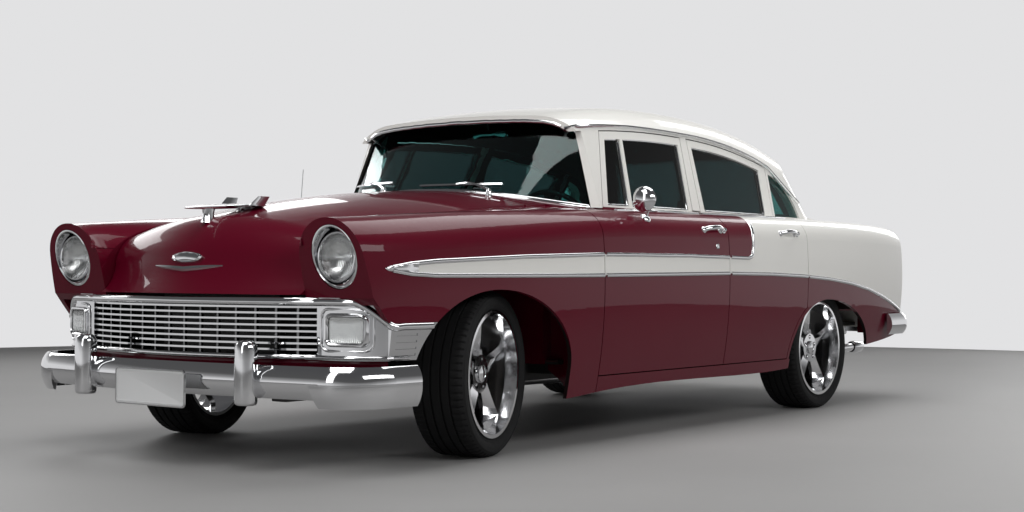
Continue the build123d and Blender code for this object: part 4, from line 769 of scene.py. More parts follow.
# Belt mouldings under the side windows
beltMoulding = {"height": 0.9965, "frontDrop": 0.012, "dropFrom": 0.3, "dropOver": 0.34,
                "shape": [(-0.008, -0.001), (-0.007, 0.005), (0.0, 0.008), (0.007, 0.005), (0.008, -0.001)],
                "sections": [("cowlEnd", "front_door", 0.640, -0.160),
                             ("rearDoor", "rear_door", -0.196, -0.940)]}
for side, word in bodySides.items():
    for label, door, xFrom, xTo in beltMoulding["sections"]:
        points = []
        for x in evenly(xFrom, xTo, 30):
            drop = beltMoulding["frontDrop"] * max(0, x - beltMoulding["dropFrom"]) / beltMoulding["dropOver"]
            points.append((x, beltMoulding["height"] - drop))
        belt = sweepOn(sideLine(f"{word}_{door}", points, side), beltMoulding["shape"])
        finishPiece(belt, f"{word}Belt.{label}", f"{word}_{door}", "stainless", 50)


# Bright reveals round every pane: the pane's own outer edge, swept with a moulding
def paneRings(node):
    bpy.ops.object.select_all(action="DESELECT")
    copy = nodes[node].copy()
    copy.data = nodes[node].data.copy()
    copy.parent = None
    bpy.context.collection.objects.link(copy)
    inEdit(copy, lambda: bpy.ops.mesh.remove_doubles(threshold=0.0002))
    mesh = bmesh.new()
    mesh.from_mesh(copy.data)
    bpy.data.objects.remove(copy)
    cabinMiddle = Vector((-0.30, 0, 0.75))
    outer = set()
    for face in mesh.faces:
        toward = face.calc_center_median() - cabinMiddle
        toward.x *= 0.6
        if face.normal.dot(toward.normalized()) > 0.42:
            outer.add(face)
    following = {}
    for edge in mesh.edges:
        if sum(face in outer for face in edge.link_faces) == 1:
            first, second = edge.verts
            following.setdefault(first, []).append(second)
            following.setdefault(second, []).append(first)
    rings, used = [], set()
    for start in list(following):
        ring, current, last = [], start, None
        while current is not None and current not in used:
            used.add(current)
            facing = sum((face.normal for face in current.link_faces if face in outer), Vector()).normalized()
            ring.append((current.co.copy(), facing))
            ahead = [v for v in following[current] if v is not last and v not in used]
            last, current = current, ahead[0] if ahead else None
        if len(ring) > 8:
            rings.append(ring)
    mesh.free()
    return rings


def ringLength(ring):
    return sum((ring[i][0] - ring[i - 1][0]).length for i in range(len(ring)))


def evenRing(ring, step):
    # the ring's points at even steps, with the facing carried along
    total = ringLength(ring)
    count = max(24, round(total / step))
    out, walked, i = [], 0.0, 0
    closedRing = ring + [ring[0]]
    for k in range(count):
        target = total * k / count
        while walked + (closedRing[i + 1][0] - closedRing[i][0]).length < target:
            walked += (closedRing[i + 1][0] - closedRing[i][0]).length
            i += 1
        a, b = closedRing[i], closedRing[i + 1]
        t = (target - walked) / max(1e-9, (b[0] - a[0]).length)
        out.append((a[0].lerp(b[0], t), a[1].lerp(b[1], t).normalized()))
    return out


reveals = {"fixed_glass": {"half": 0.011, "rise": 0.008, "body": "body", "least": 1.2}}
for end in ("front", "rear"):
    for word in bodySides.values():
        door = f"{word}_{end}_door"
        reveals[f"{door}_glass"] = {"half": 0.008, "rise": 0.006, "body": door, "least": 0.5}
for node, reveal in reveals.items():
    w, h = reveal["half"], reveal["rise"]
    shape = [(-w, -0.004), (-w, h * 0.5), (-w * 0.5, h), (w * 0.5, h), (w, h * 0.5), (w, -0.004)]
    rings = [evenRing(ring, 0.022) for ring in paneRings(node) if ringLength(ring) >= reveal["least"]]
    print(node, "rings", len(rings))
    finishPiece([sweepOn(ring, shape, closed=True) for ring in rings], f"{node}.reveal", reveal["body"],
                "stainless", 50)

# Windshield moulding under the roof's lip
lip = {"half": 0.60, "from": 1.46, "to": 1.22, "ahead": 0.20, "drop": 0.004,
       "shape": [(-0.0085, -0.003), (-0.0085, 0.003), (-0.004, 0.0065), (0.004, 0.0065), (0.0085, 0.003),
                 (0.0085, -0.003)]}


def lipHit(y):
    # the lowest place of the roof's front edge
    z, last = lip["from"], None
    while z > lip["to"]:
        hit = frontHit(("roof",), y, z)
        if hit and hit[0].x > lip["ahead"]:
            last = hit
        elif last:
            break
        z -= 0.002
    return last and (last[0] + Vector((0.001, 0, lip["drop"])), (last[1] + Vector((0.6, 0, 0))).normalized())


found = [lipHit(y) for y in evenly(-lip["half"], lip["half"], 48)]
moulding = sweepOn([hit for hit in found if hit], lip["shape"])
finishPiece(moulding, "windshieldMoulding", "body", "stainless", 50)

# Drip rails over the side windows
dripRail = {"stations": [(0.735, 1.345), (0.45, 1.372), (0.15, 1.388), (-0.2, 1.388), (-0.5, 1.378),
                         (-0.80, 1.343), (-1.06, 1.283), (-1.22, 1.205), (-1.335, 1.09)],
            "shape": [(-0.006, -0.002), (-0.008, 0.010), (-0.003, 0.016), (0.004, 0.014), (0.007, 0.004),
                      (0.006, -0.002)]}
for side, word in bodySides.items():
    line = roundLine([(x, 0, z) for x, z in dripRail["stations"]], 0.03)
    rail = sweepOn(sideLine("roof", [(point.x, point.z) for point in line], side), dripRail["shape"])
    finishPiece(rail, f"{word}DripRail", "body", "stainless", 50)
print("side trim laid")

# Headlamps: a raked oval bezel, a black gap ring of painted shade, a round ring, a bowl, a bulb and a ribbed
# lens
headlamp = {"centre": (2.292, 0.720, 0.765), "radius": 0.088, "oval": (0.1065, 0.1145), "rake": 14,
            "brow": (2.347, 0.903)}


def noseX(z):
    return headlamp["brow"][0] - (headlamp["brow"][1] - z) * math.tan(math.radians(headlamp["rake"]))


def lampRing(centre, side, grow, lift):
    # one oval round the lamp, on the rake of the nose
    wide, tall = (size + grow for size in headlamp["oval"])
    ring = ovalRing(centre, alongY * (side * wide), alongZ * tall, 72)
    return [Vector((noseX(point.z) + lift, point.y, point.z)) for point in ring]


for side, word in bodySides.items():
    centre = Vector(headlamp["centre"])
    centre.y *= side
    r = headlamp["radius"]
    rings = [lampRing(centre, side, grow, lift) for grow, lift in
             ((0, -0.040), (0, 0.001), (-0.002, 0.0042), (-0.006, 0.0055), (-0.010, 0.0035))]
    for around, out in ((0.0985, 0.012), (0.0965, 0.007), (0.0965, -0.020)):
        rings.append(ovalRing(centre + alongX * out, alongY * (side * around), alongZ * around, 72))
    bezel = layRows(rings, closed=True)
    finishPiece(bezel, f"{word}HeadlampBezel", "body", "chrome")
    if side > 0:
        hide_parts("front_lamps")
    front = [(r * t, 0.034 * (1 - t * t) ** 0.8 + 0.002) for t in (0.0, 0.18, 0.36, 0.54, 0.70, 0.83, 0.93)]
    back = [(a * 0.97, h - 0.006) for a, h in reversed(front)]
    turned = [
        # the gap ring is painted shade between the bezel and the lamp's ring
        ("ShadeGap", "shadeBlack", 48, [(0.0968, -0.018), (0.0968, -0.004), (r * 1.04, -0.004), (r * 1.04, -0.018)]),
        ("Bowl", "reflector", 40, [(0.0, -0.056), (0.014, -0.055), (r * 0.55, -0.042), (r * 0.80, -0.020),
                                   (r * 0.93, -0.002)]),
        ("Bulb", "chrome", 20, [(0.0, -0.004), (0.013, -0.008), (0.017, -0.020), (0.012, -0.036),
                                (0.012, -0.055)]),
        ("Lens", "ribbedLens", 56, front + [(r * 0.95, 0.001)] + back),
        ("Ring", "chrome", 56, [(r * 0.90, -0.006), (r * 0.91, 0.008), (r * 0.95, 0.014), (r * 1.00, 0.015),
                                (r * 1.04, 0.010), (r * 1.05, -0.002), (r * 1.05, -0.016),
                                (r * 0.90, -0.006)]),
    ]
    for label, finish, steps, profile in turned:
        finishPiece(spinProfile(profile, centre, alongX, steps), f"{word}Headlamp{label}", "body", finish)

# Parking lamps: a rounded square bezel, a fluted lens and a bright bowl, seated in the surround
parkLamp = {"centre": (2.262, 0.735, 0.506), "half": (0.0795, 0.0595), "slant": 0.30,
            "bezel": [(0, 0, 0.024, -0.034), (0, 0, 0.024, 0.010), (0.003, 0.003, 0.022, 0.015),
                      (0.008, 0.008, 0.018, 0.016), (0.013, 0.013, 0.014, 0.011),
                      (0.014, 0.014, 0.013, -0.006)],
            "bowl": [(0.013, 0.013, 0.014, 0.001), (0.030, 0.028, 0.010, -0.014),
                     (0.0735, 0.0555, 0.002, -0.018)],
            "lens": [(0.0135, 0.0135, 0.014, 0.002), (0.0142, 0.0142, 0.0135, 0.0075),
                     (0.018, 0.018, 0.012, 0.0100), (0.028, 0.026, 0.010, 0.0118),
                     (0.045, 0.038, 0.006, 0.0127)]}


def parkRings(side, stations):
    # rounded squares, each as inset across, inset up, corner and out, slanted back outwards
    x, y, z = parkLamp["centre"]
    halfY, halfZ = parkLamp["half"]
    across = Vector((-parkLamp["slant"] * side, 1, 0))
    sizes = [(halfY - insetY, halfZ - insetZ, corner, out) for insetY, insetZ, corner, out in stations]
    return squareRings((x, side * y, z), across, alongZ, alongX, sizes)


for side, word in bodySides.items():
    bezel = layRows(parkRings(side, parkLamp["bezel"]), closed=True)
    finishPiece(bezel, f"{word}ParkBezel", "body", "chrome")
    finishPiece(stackRings(parkRings(side, parkLamp["bowl"])), f"{word}ParkBowl", "body", "reflector")
    finishPiece(stackRings(parkRings(side, parkLamp["lens"])), f"{word}ParkLens", "body", "ribbedLens")
print("front lamps made")

# The surround's rolled edges, laid on the solid surround
rolledEdge = {"top": 0.604, "low": 0.407, "wingTop": 0.5195, "lampHalf": (0.0945, 0.0745),
              "lampCorner": 0.030, "lampY": 0.732, "lampZ": 0.506}


def onSurround(spots):
    # places on the surround for spots given as ("front", y, z) or ("side", x, z, side)
    cast = {"front": frontHit, "side": sideHit}
    found = [cast[kind](("grille",), *spot) for kind, *spot in spots]
    return [hit for hit in found if hit]


def rollAlong(found, shape, step=0.014):
    line = roundLine([spot for spot, _ in found], step)
    facing = []
    for point in line:
        weights = [(normal, 1 / (0.0004 + (spot - point).length_squared)) for spot, normal in found]
        facing.append(sum((normal * w for normal, w in weights), Vector()).normalized())
    return sweepAlong(line, shape, facing)


def topEnd(side):
    # from the wing's back end to the grille, on one side
    wing = [("side", x, rolledEdge["wingTop"], side) for x in (1.935, 1.99, 2.06, 2.13, 2.185)]
    slope = [("side", 2.185 + 0.068 * t, rolledEdge["wingTop"] + 0.080 * t, side) for t in (0.35, 0.7, 1.0)]
    return wing + slope + [("front", side * y, rolledEdge["top"]) for y in (0.765, 0.72, 0.67, 0.62)]


topSpots = topEnd(-1) + [("front", -0.56 + 0.08 * k, rolledEdge["top"]) for k in range(15)] + topEnd(1)[::-1]
topRoll = rollAlong(onSurround(topSpots), halfRound(0.0145, 0.015, 8))
finishPiece(topRoll, "surroundTopRoll", "body", "chrome", 50)
for side, word in bodySides.items():
    low = [("side", x, rolledEdge["low"], side) for x in (1.955, 2.02, 2.09, 2.15, 2.19)]
    low += [("front", side * y, rolledEdge["low"]) for y in (0.80, 0.74, 0.68, 0.62)]
    lamp = roundedSquare(*rolledEdge["lampHalf"], rolledEdge["lampCorner"], 5)
    lamp = [("front", side * (rolledEdge["lampY"] + y), rolledEdge["lampZ"] + z) for y, z in lamp]
    rolls = [rollAlong(onSurround(low), halfRound(0.008, 0.008)),
             sweepOn(onSurround(lamp), halfRound(0.0055, 0.008), closed=True)]
    finishPiece(rolls, f"{word}SurroundRolls", "body", "chrome", 50)

# Ribbed panels beside the radiator, a real support, made near black as painted shade behind the grille
support = {"x": 2.150, "inner": 0.322, "outer": 0.800, "low": 0.335, "high": 0.700, "rib": 0.006,
           "ribSpan": (0.4, 0.76)}
ribFrom, ribTo = support["ribSpan"]
for side, word in bodySides.items():
    rows = []
    for k, z in enumerate(evenly(support["low"], support["high"], 14)):
        rib = support["rib"] if k % 4 in (1, 2) else 0.0
        rows.append([Vector((support["x"] + rib * (ribFrom < y < ribTo), side * y, z))
                     for y in evenly(support["inner"], support["outer"], 12)])
    panel = layRows(rows)
    addModifier(panel, "SOLIDIFY", thickness=0.002, offset=0)
    finishPiece(panel, f"{word}RadiatorSupport", "body", "shadeBlack")

# The painted valance between the surround and the bumper
valance = {"edge": 0.850, "behind": 0.030, "followed": 0.402,
           "section": [(-0.006, 0.410), (0.0, 0.398), (0.0, 0.372), (-0.012, 0.345), (-0.034, 0.318),
                       (-0.060, 0.305)]}
rows = []
for y in evenly(-valance["edge"], valance["edge"], 40):
    found = frontHit(("grille",), y, valance["followed"])
    bow = (found[0].x if found else 2.17) - valance["behind"]
    rows.append([Vector((bow + back, y, z)) for back, z in valance["section"]])
skirt = layRows(rows)
addModifier(skirt, "SOLIDIFY", thickness=0.002, offset=-1)
finishPiece(skirt, "frontValance", "body", "wine", 60)

# Fillets that close the skin where each pod's inner wall meets its brow
fillet = {"x": (2.236, 2.336), "z": (0.804, 0.868), "proud": 0.0012, "solid": 0.62}
for side, word in bodySides.items():
    rows = []
    heights = evenly(*fillet["z"], 16)
    for x in evenly(*fillet["x"], 14):
        known = []
        for z in heights:
            start = Vector((x, side * 0.3, z))
            hit = surfaceOf(f"{word}_front_fender").ray_cast(start, alongY * side)[0]
            if hit is not None and abs(hit.y) < fillet["solid"]:
                known.append((z, abs(hit.y)))
        row = []
        for z in heights:
            below = max([place for place in known if place[0] <= z], default=known[0])
            above = min([place for place in known if place[0] >= z], default=known[-1])
            t = (z - below[0]) / (above[0] - below[0]) if above[0] > below[0] else 0.0
            y = below[1] + (above[1] - below[1]) * t
            row.append(Vector((x, side * (y - fillet["proud"]), z)))
        rows.append(row)
    skin = layRows(rows)
    addModifier(skin, "SOLIDIFY", thickness=0.0016, offset=0)
    finishPiece(skin, f"{word}PodFillet", "body", "wine", 60)
print("nose dressed")

# Front number plate, left blank
plate = {"centre": (2.522, -0.005, 0.286),
         "stations": [(0.186, 0.064, 0.012, 0.0), (0.186, 0.064, 0.012, 0.002), (0.184, 0.062, 0.011, 0.0028),
                      (0.178, 0.056, 0.008, 0.0028), (0.177, 0.055, 0.008, 0.0018)],
         "frame": [(0.190, 0.068, 0.014, -0.002), (0.190, 0.068, 0.014, 0.004), (0.185, 0.063, 0.012, 0.004),
                   (0.185, 0.063, 0.012, -0.002), (0.190, 0.068, 0.014, -0.002)]}
face, rim = (squareRings(plate["centre"], alongY, alongZ, alongX, plate[part])
             for part in ("stations", "frame"))
finishPiece(stackRings(face), "frontPlate", "body", "plate")
finishPiece(layRows(rim, closed=True), "frontPlateFrame", "body", "chrome")

# Hood ornament: a slim spear on stems, flat wings and two upright raked fins
ornament = {"tip": 2.366, "tail": 1.905, "height": 0.952, "rise": 0.027, "finY": 0.082,
            "stems": ((2.245, 0.034), (2.05, 0.050))}


def finSection(front, back, inFront, inBack, thick):
    # a thin six-cornered section, its shoulders set in from both ends
    return [front, front - inFront + thick, back + inBack + thick, back, back + inBack - thick,
            front - inFront - thick]


rows = []
for t in shares(18):
    x = ornament["tip"] + (ornament["tail"] - ornament["tip"]) * t
    z = ornament["height"] + ornament["rise"] * t
    wide = 0.020 * math.sin(math.pi * min(1, t * 1.04 + 0.02)) ** 0.6 * (0.5 + 0.5 * t) + 0.001
    tall = 0.009 * math.sin(math.pi * min(1, t * 1.02 + 0.02)) ** 0.5 + 0.001
    rows.append(ovalRing(Vector((x, 0, z)), alongY * wide, alongZ * tall, 16))
made = [stackRings(rows)]
for side in (1, -1):
    wing, fin = [], []
    for t in shares(8):
        y, z = side * (0.006 + (ornament["finY"] - 0.004) * t), 0.966 + 0.004 * t
        wing.append(finSection(Vector((2.19 - 0.075 * t, y, z)), Vector((1.965 + 0.050 * t, y, z + 0.008)),
                               alongX * 0.02, Vector((0.02, 0, -0.002)), alongZ * (0.0035 - 0.0015 * t)))
    for t in shares(7):
        y, z = side * (ornament["finY"] + 0.006 * t), 0.968 + 0.038 * t
        fin.append(finSection(Vector((2.112 - 0.045 * t, y, z)), Vector((2.028 - 0.022 * t, y, z)),
                              alongX * 0.012, alongX * 0.012, alongY * (0.0030 - 0.0014 * t)))
    made += [stackRings(wing), stackRings(fin)]
for stemX, long in ornament["stems"]:
    foot = topHit(("hood",), stemX, 0.0)[0].z - 0.005
    t = (ornament["tip"] - stemX) / (ornament["tip"] - ornament["tail"])
    top = ornament["height"] + ornament["rise"] * t
    made.append(stackRings([ovalRing(Vector((stemX, 0, foot + (top - foot) * t)),
                                     alongX * (long * (1.15 - 0.35 * math.sin(math.pi * t))),
                                     alongY * (0.012 * (1.3 - 0.6 * t)), 16) for t in shares(5)]))
finishPiece(made, "hoodOrnament", "hood", "chrome")

# A plain badge on the nose: an oval boss over a slim bar
badge = {"barHalf": 0.185, "barZ": 0.722, "barThick": 0.011, "barRise": 0.012, "bossZ": 0.765,
         "boss": (0.082, 0.022), "stations": ((1.0, -0.002), (1.0, 0.006), (0.86, 0.011), (0.80, 0.008),
                                              (0.45, 0.013), (0.02, 0.015))}
bar = [frontHit(("hood",), y, badge["barZ"] + badge["barRise"] * abs(y) / badge["barHalf"])
       for y in evenly(-badge["barHalf"], badge["barHalf"], 24)]
thick = badge["barThick"]
made = [sweepOn([hit for hit in bar if hit], stripShape(thick, thick * 0.5, 0.009, -0.002),
                taper=lambda t: math.sin(math.pi * min(max(t, 0.02), 0.98)) ** 0.5)]
spot, out = frontHit(("hood",), 0.0, badge["bossZ"])
upward = alongY.cross(out)
upward *= 1 if upward.z > 0 else -1
wide, tall = badge["boss"]
made.append(stackRings([ovalRing(spot + out * lift, alongY * (wide * grow), upward * (tall * grow), 32)
                        for grow, lift in badge["stations"]]))
finishPiece(made, "noseBadge", "hood", "chrome")

# Door handles with push buttons, and locks on the front doors
handles = {"front_door": {"x": -0.035, "lock": (-0.066, 0.840)}, "rear_door": {"x": -0.800, "lock": None}}
handle = {"half": 0.075, "z": 0.915, "stand": 0.034, "button": -0.105,
          "foot": [(0.0, 0.010), (0.010, 0.008), (0.015, 0.003), (0.0165, -0.001)],
          "push": [(0.0, 0.016), (0.009, 0.015), (0.010, 0.006), (0.014, 0.004), (0.016, -0.001)],
          "barrel": [(0.0, 0.004), (0.008, 0.004), (0.009, 0.006), (0.012, 0.005), (0.0135, -0.001)]}
for side, word in bodySides.items():
    for door, places in handles.items():
        node = f"{word}_{door}"
        front, back = places["x"] + handle["half"], places["x"] - handle["half"]
        grip = []
        for t in shares(12):
            spot, facing = sideHit((node,), front + (back - front) * t, handle["z"], side)
            grip.append((spot + facing * (handle["stand"] * math.sin(math.pi * t) ** 0.35), facing))
        made = [sweepOn(grip, [(0.011 * math.cos(a), 0.006 * math.sin(a)) for a in angles(12)])]
        for x in (front, back):
            made.append(spinProfile(handle["foot"], *sideHit((node,), x, handle["z"], side), 20))
        button = sideHit((node,), places["x"] + handle["button"], handle["z"], side)
        made.append(spinProfile(handle["push"], *button, 24))
        if places["lock"]:
            made.append(spinProfile(handle["barrel"], *sideHit((node,), *places["lock"], side), 24))
        finishPiece(made, f"{node}Handle", node, "chrome")

# Round door mirrors on short stalks
doorMirror = {"base": (0.500, 0.955), "head": (0.555, 0.908, 1.035), "radius": 0.056, "stalk": 0.0055,
              "toe": 0.12}
for side, word in bodySides.items():
    node = f"{word}_front_door"
    base, facing = sideHit((node,), *doorMirror["base"], side)
    head = Vector(doorMirror["head"])
    head.y *= side
    r = doorMirror["radius"]
    lookBack = Vector((-1, side * -doorMirror["toe"], 0.0)).normalized()
    stalk = roundLine([base, base + facing * 0.03 + Vector((0.01, 0, 0.015)),
                       head - Vector((0, side * 0.01, 0.045)), head], 0.008)
    shell = [(0.0, -0.026), (r * 0.5, -0.023), (r * 0.85, -0.013), (r, 0.0), (r, 0.006), (r * 0.95, 0.008),
             (r * 0.93, 0.005)]
    made = [spinProfile([(0.0, 0.012), (0.014, 0.010), (0.024, 0.004), (0.026, -0.001)], base, facing, 28),
            sweepAlong(stalk, tubeShape(doorMirror["stalk"]), alongX), spinProfile(shell, head, lookBack, 40)]
    finishPiece(made, f"{word}MirrorBody", node, "chrome")
    glass = spinProfile([(0.0, 0.0055), (r * 0.93, 0.005), (r * 0.93, 0.003), (0.0, 0.003)], head, lookBack,
                        40)
    finishPiece(glass, f"{word}MirrorGlass", node, "mirror")

# Wipers parked at the foot of the windshield
wipers = {"pivots": {"left": 0.40, "right": -0.20}, "pivotX": 1.0, "long": 0.40, "up": 0.055, "off": 0.012,
          "boss": [(0.0, 0.030), (0.008, 0.028), (0.012, 0.020), (0.014, 0.0), (0.014, -0.004)]}
for word, pivotY in wipers["pivots"].items():
    base = topHit(("cowl", "fixed_glass", "hood"), wipers["pivotX"], pivotY)[0]
    blade = []
    for t in shares(18):
        start = Vector((1.3, pivotY - 0.02 - wipers["long"] * t, base.z + wipers["up"]))
        onGlass = surfaceOf("fixed_glass").ray_cast(start, -alongX)[0]
        if onGlass is not None:
            blade.append(onGlass + alongX * wipers["off"])
    middle = blade[len(blade) // 2]
    arm = roundLine([base + Vector((0, 0, 0.024)), base.lerp(middle, 0.5) + Vector((0.012, 0, 0.03)),
                     middle + Vector((0.010, 0, 0.004))], 0.02)
    leaning = Vector((1, 0, 0.3))
    made = [spinProfile(wipers["boss"], base, alongZ, 24),
            sweepAlong(blade, stripShape(0.003, 0.004, 0.006, -0.008), leaning),
            sweepAlong(arm, stripShape(0.005, 0.004, 0.003, -0.002), leaning, taper=lambda t: 1.0 - 0.4 * t)]
    finishPiece(made, f"wiper.{word}", "body", "stainless")

# Aerial on the right fender
aerial = {"foot": (0.96, -0.76), "rise": (-0.02, 0, 0.22), "radius": 0.0022,
          "boss": [(0.0, 0.012), (0.010, 0.012), (0.013, 0.006), (0.016, 0.0), (0.016, -0.004)]}
base = topHit(("right_front_fender",), *aerial["foot"])[0]
mast = [base + Vector(aerial["rise"]) * t for t in shares(4)]
made = [spinProfile(aerial["boss"], base, alongZ, 24),
        sweepAlong(mast, tubeShape(aerial["radius"], 8), alongX)]
finishPiece(made, "aerial", "body", "stainless")
print("small bright pieces made")

# Tyres with four grooves and notched shoulders, wheel caps and lug nuts, each nut ringed with painted shade
# in its hole
tyre = {"rows": 288, "grooves": (0.056, 0.020, -0.020, -0.056), "grooveHalf": 0.0042, "grooveFloor": 0.3125,
        "notchEvery": 4, "notch": 0.0055, "radius": 0.320, "crown": 0.0015, "treadHalf": 0.088,
        "wall": [(0.2403, 0.084), (0.2440, 0.092), (0.2500, 0.0965), (0.2580, 0.1030), (0.2585, 0.1048),
                 (0.2620, 0.1056), (0.2630, 0.1046), (0.2720, 0.1098), (0.2850, 0.1122), (0.2960, 0.1112),
                 (0.2966, 0.1123), (0.3000, 0.1118), (0.3008, 0.1104), (0.3080, 0.1055)],
        "shoulder": [(0.3120, 0.1015), (0.3165, 0.0955), (0.3188, 0.0890), (0.3190, 0.0720)]}
lugs = {"count": 5, "circle": 0.057, "deepest": 0.32, "lift": 0.030,
        "nut": [(0.0, 0.020), (0.0040, 0.0192), (0.0065, 0.016), (0.0075, 0.011), (0.0088, 0.010),
                (0.0088, -0.002)],
        "pit": [(0.0107, -0.002), (0.0107, 0.0155), (0.0116, 0.0165), (0.0116, -0.002)]}
wheelCap = [(0.0, 0.0590), (0.012, 0.0584), (0.022, 0.0565), (0.0245, 0.0556), (0.0255, 0.0568),
            (0.0300, 0.0562), (0.0336, 0.0545), (0.0348, 0.0500), (0.0348, 0.0450)]


def tyreSection(notched):
    drop = tyre["notch"] if notched else 0.0
    h = tyre["grooveHalf"]
    tread = []
    for g in tyre["grooves"]:
        top = tyre["radius"] - tyre["crown"] * (g / tyre["treadHalf"]) ** 2
        tread += [(top, g + h), (tyre["grooveFloor"], g + h * 0.7), (tyre["grooveFloor"], g - h * 0.7),
                  (top, g - h)]
    half = tyre["wall"] + [(r - drop, a) for r, a in tyre["shoulder"]]
    return half + tread + [(r, -a) for r, a in reversed(half)]


def spokeAt(outwards, angle):
    return alongZ * math.cos(angle) + outwards.cross(alongZ) * math.sin(angle)


def holeDepth(wheel, centre, outwards, angle):
    # how deep the wheel's own lug hole is at this angle
    start = centre + outwards * 0.3 + spokeAt(outwards, angle) * lugs["circle"]
    hit = surfaceOf(wheel).ray_cast(start, -outwards)
    return hit[3] if hit[0] is not None else 0.0


for joint in frame["joints"]:
    if not joint["name"].endswith("_spin"):
        continue
    wheel, centre = joint["child"], Vector(joint["pos_m"])
    outwards = Vector(joint["axis"]).normalized() * (1 if wheel.startswith("left") else -1)
    rows = []
    for k, t in enumerate(shares(tyre["rows"])):
        spoke = spokeAt(outwards, 2 * math.pi * t)
        section = tyreSection(k % tyre["notchEvery"] == 0)
        rows.append([centre + spoke * r + outwards * along for r, along in section])
    tread = layRows(rows, closed=True)
    finishPiece(tread, f"{wheel}.treadedTyre", wheel, "rubber", 30)
    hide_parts(wheel.replace("wheel", "tyre"))

    turns = angles(lugs["count"])
    total = {}
    for first in (math.radians(degrees) for degrees in range(0, 72, 2)):
        total[first] = sum(min(holeDepth(wheel, centre, outwards, first + turn), lugs["deepest"])
                           for turn in turns)
    first = max(total, key=total.get)
    nuts, pits = [], []
    for turn in turns:
        depth = holeDepth(wheel, centre, outwards, first + turn)
        reach = spokeAt(outwards, first + turn) * lugs["circle"]
        seat = centre + reach + outwards * min(lugs["lift"], 0.3 - depth)
        nuts.append(spinProfile(lugs["nut"], seat, outwards, 6))
        # painted shade: a black ring in each lug hole round its nut
        pits.append(spinProfile(lugs["pit"], seat, outwards, 24))
    nuts.append(spinProfile(wheelCap, centre, outwards, 48))
    finishPiece(nuts, f"{wheel}.capAndNuts", wheel, "chrome")
    finishPiece(pits, f"{wheel}.lugPitShade", wheel, "shadeBlack")
print("tyres and wheel caps made")

# Bumper guards with domed tops
guards = {"y": 0.44, "halfX": 0.0405, "halfY": 0.0415, "places": {"frontGuards": (2.468, 0.2375, 0.231),
                                                                 "rearGuards": (-2.468, 0.3495, 0.214)},
          "foot": ((0.30, 0.0), (0.72, 0.001), (0.94, 0.006), (1.0, 0.016)),
          "flank": ((1.03, 0.30), (1.04, 0.50), (1.03, 0.70)),
          "dome": ((1.0, -0.034), (0.955, -0.020), (0.84, -0.009), (0.62, -0.002), (0.30, 0.001),
                   (0.08, 0.0015))}
for label, (guardX, low, tall) in guards["places"].items():
    stations = [*guards["foot"], *((share, tall * up) for share, up in guards["flank"]),
                *((share, tall + up) for share, up in guards["dome"])]
    made = []
    for side in (1, -1):
        rings = [ovalRing(Vector((guardX, side * guards["y"], low + up)), alongX * (guards["halfX"] * share),
                          alongY * (guards["halfY"] * share), 40) for share, up in stations]
        made.append(stackRings(rings))
    finishPiece(made, label, "body", "chrome", 60)

# Tail lamps: an oval bezel with a divider, a round red lens over a clear one
tailLamp = {"centre": (-2.380, 0.740, 0.830), "half": (0.048, 0.105), "redZ": 0.862, "clearZ": 0.768,
            "dividerZ": 0.795,
            "bezel": ((0.0005, 0.006), (0.006, 0.001), (0.0065, -0.007), (0.003, -0.013), (-0.002, -0.014),
                      (-0.005, -0.009)),
            "dome": [(0.0, -0.0585), (0.010, -0.058), (0.020, -0.055), (0.028, -0.050), (0.0325, -0.043),
                     (0.033, -0.030)],
            "redRing": [(0.0335, -0.045), (0.036, -0.049), (0.0385, -0.045), (0.0385, -0.030)],
            "clearRing": [(0.0245, -0.042), (0.027, -0.046), (0.029, -0.042), (0.029, -0.030)],
            "clear": [(0.0, -0.052), (0.010, -0.051), (0.019, -0.047), (0.0245, -0.040), (0.0245, -0.030)]}
for side, word in bodySides.items():
    x, y, z = tailLamp["centre"]
    y *= side
    halfY, halfZ = tailLamp["half"]
    bezel = layRows([ovalRing(Vector((x + out, y, z)), alongY * (halfY + grow), alongZ * (halfZ + grow), 56)
                     for grow, out in tailLamp["bezel"]], closed=True)
    arc = [(x - 0.036 - 0.012 * math.sin(math.pi * t), y + 0.040 * math.cos(math.pi * t)) for t in shares(20)]
    divider = layRows([[Vector((a, b, tailLamp["dividerZ"] + up)) for a, b in arc]
                       for up in (-0.006, -0.004, 0.004, 0.006)])
    addModifier(divider, "SOLIDIFY", thickness=0.004, offset=0)
    finishPiece([bezel, divider], f"{word}TailBezel", "body", "chrome")
    red, clear = (x, y, tailLamp["redZ"]), (x, y, tailLamp["clearZ"])
    finishPiece(spinProfile(tailLamp["dome"], red, alongX, 40), f"{word}TailLens", "body", "redLens")
    rings = [spinProfile(tailLamp["redRing"], red, alongX, 40),
             spinProfile(tailLamp["clearRing"], clear, alongX, 36)]
    finishPiece(rings, f"{word}TailRings", "body", "chrome")
    finishPiece(spinProfile(tailLamp["clear"], clear, alongX, 32), f"{word}BackupLens", "body", "ribbedLens")

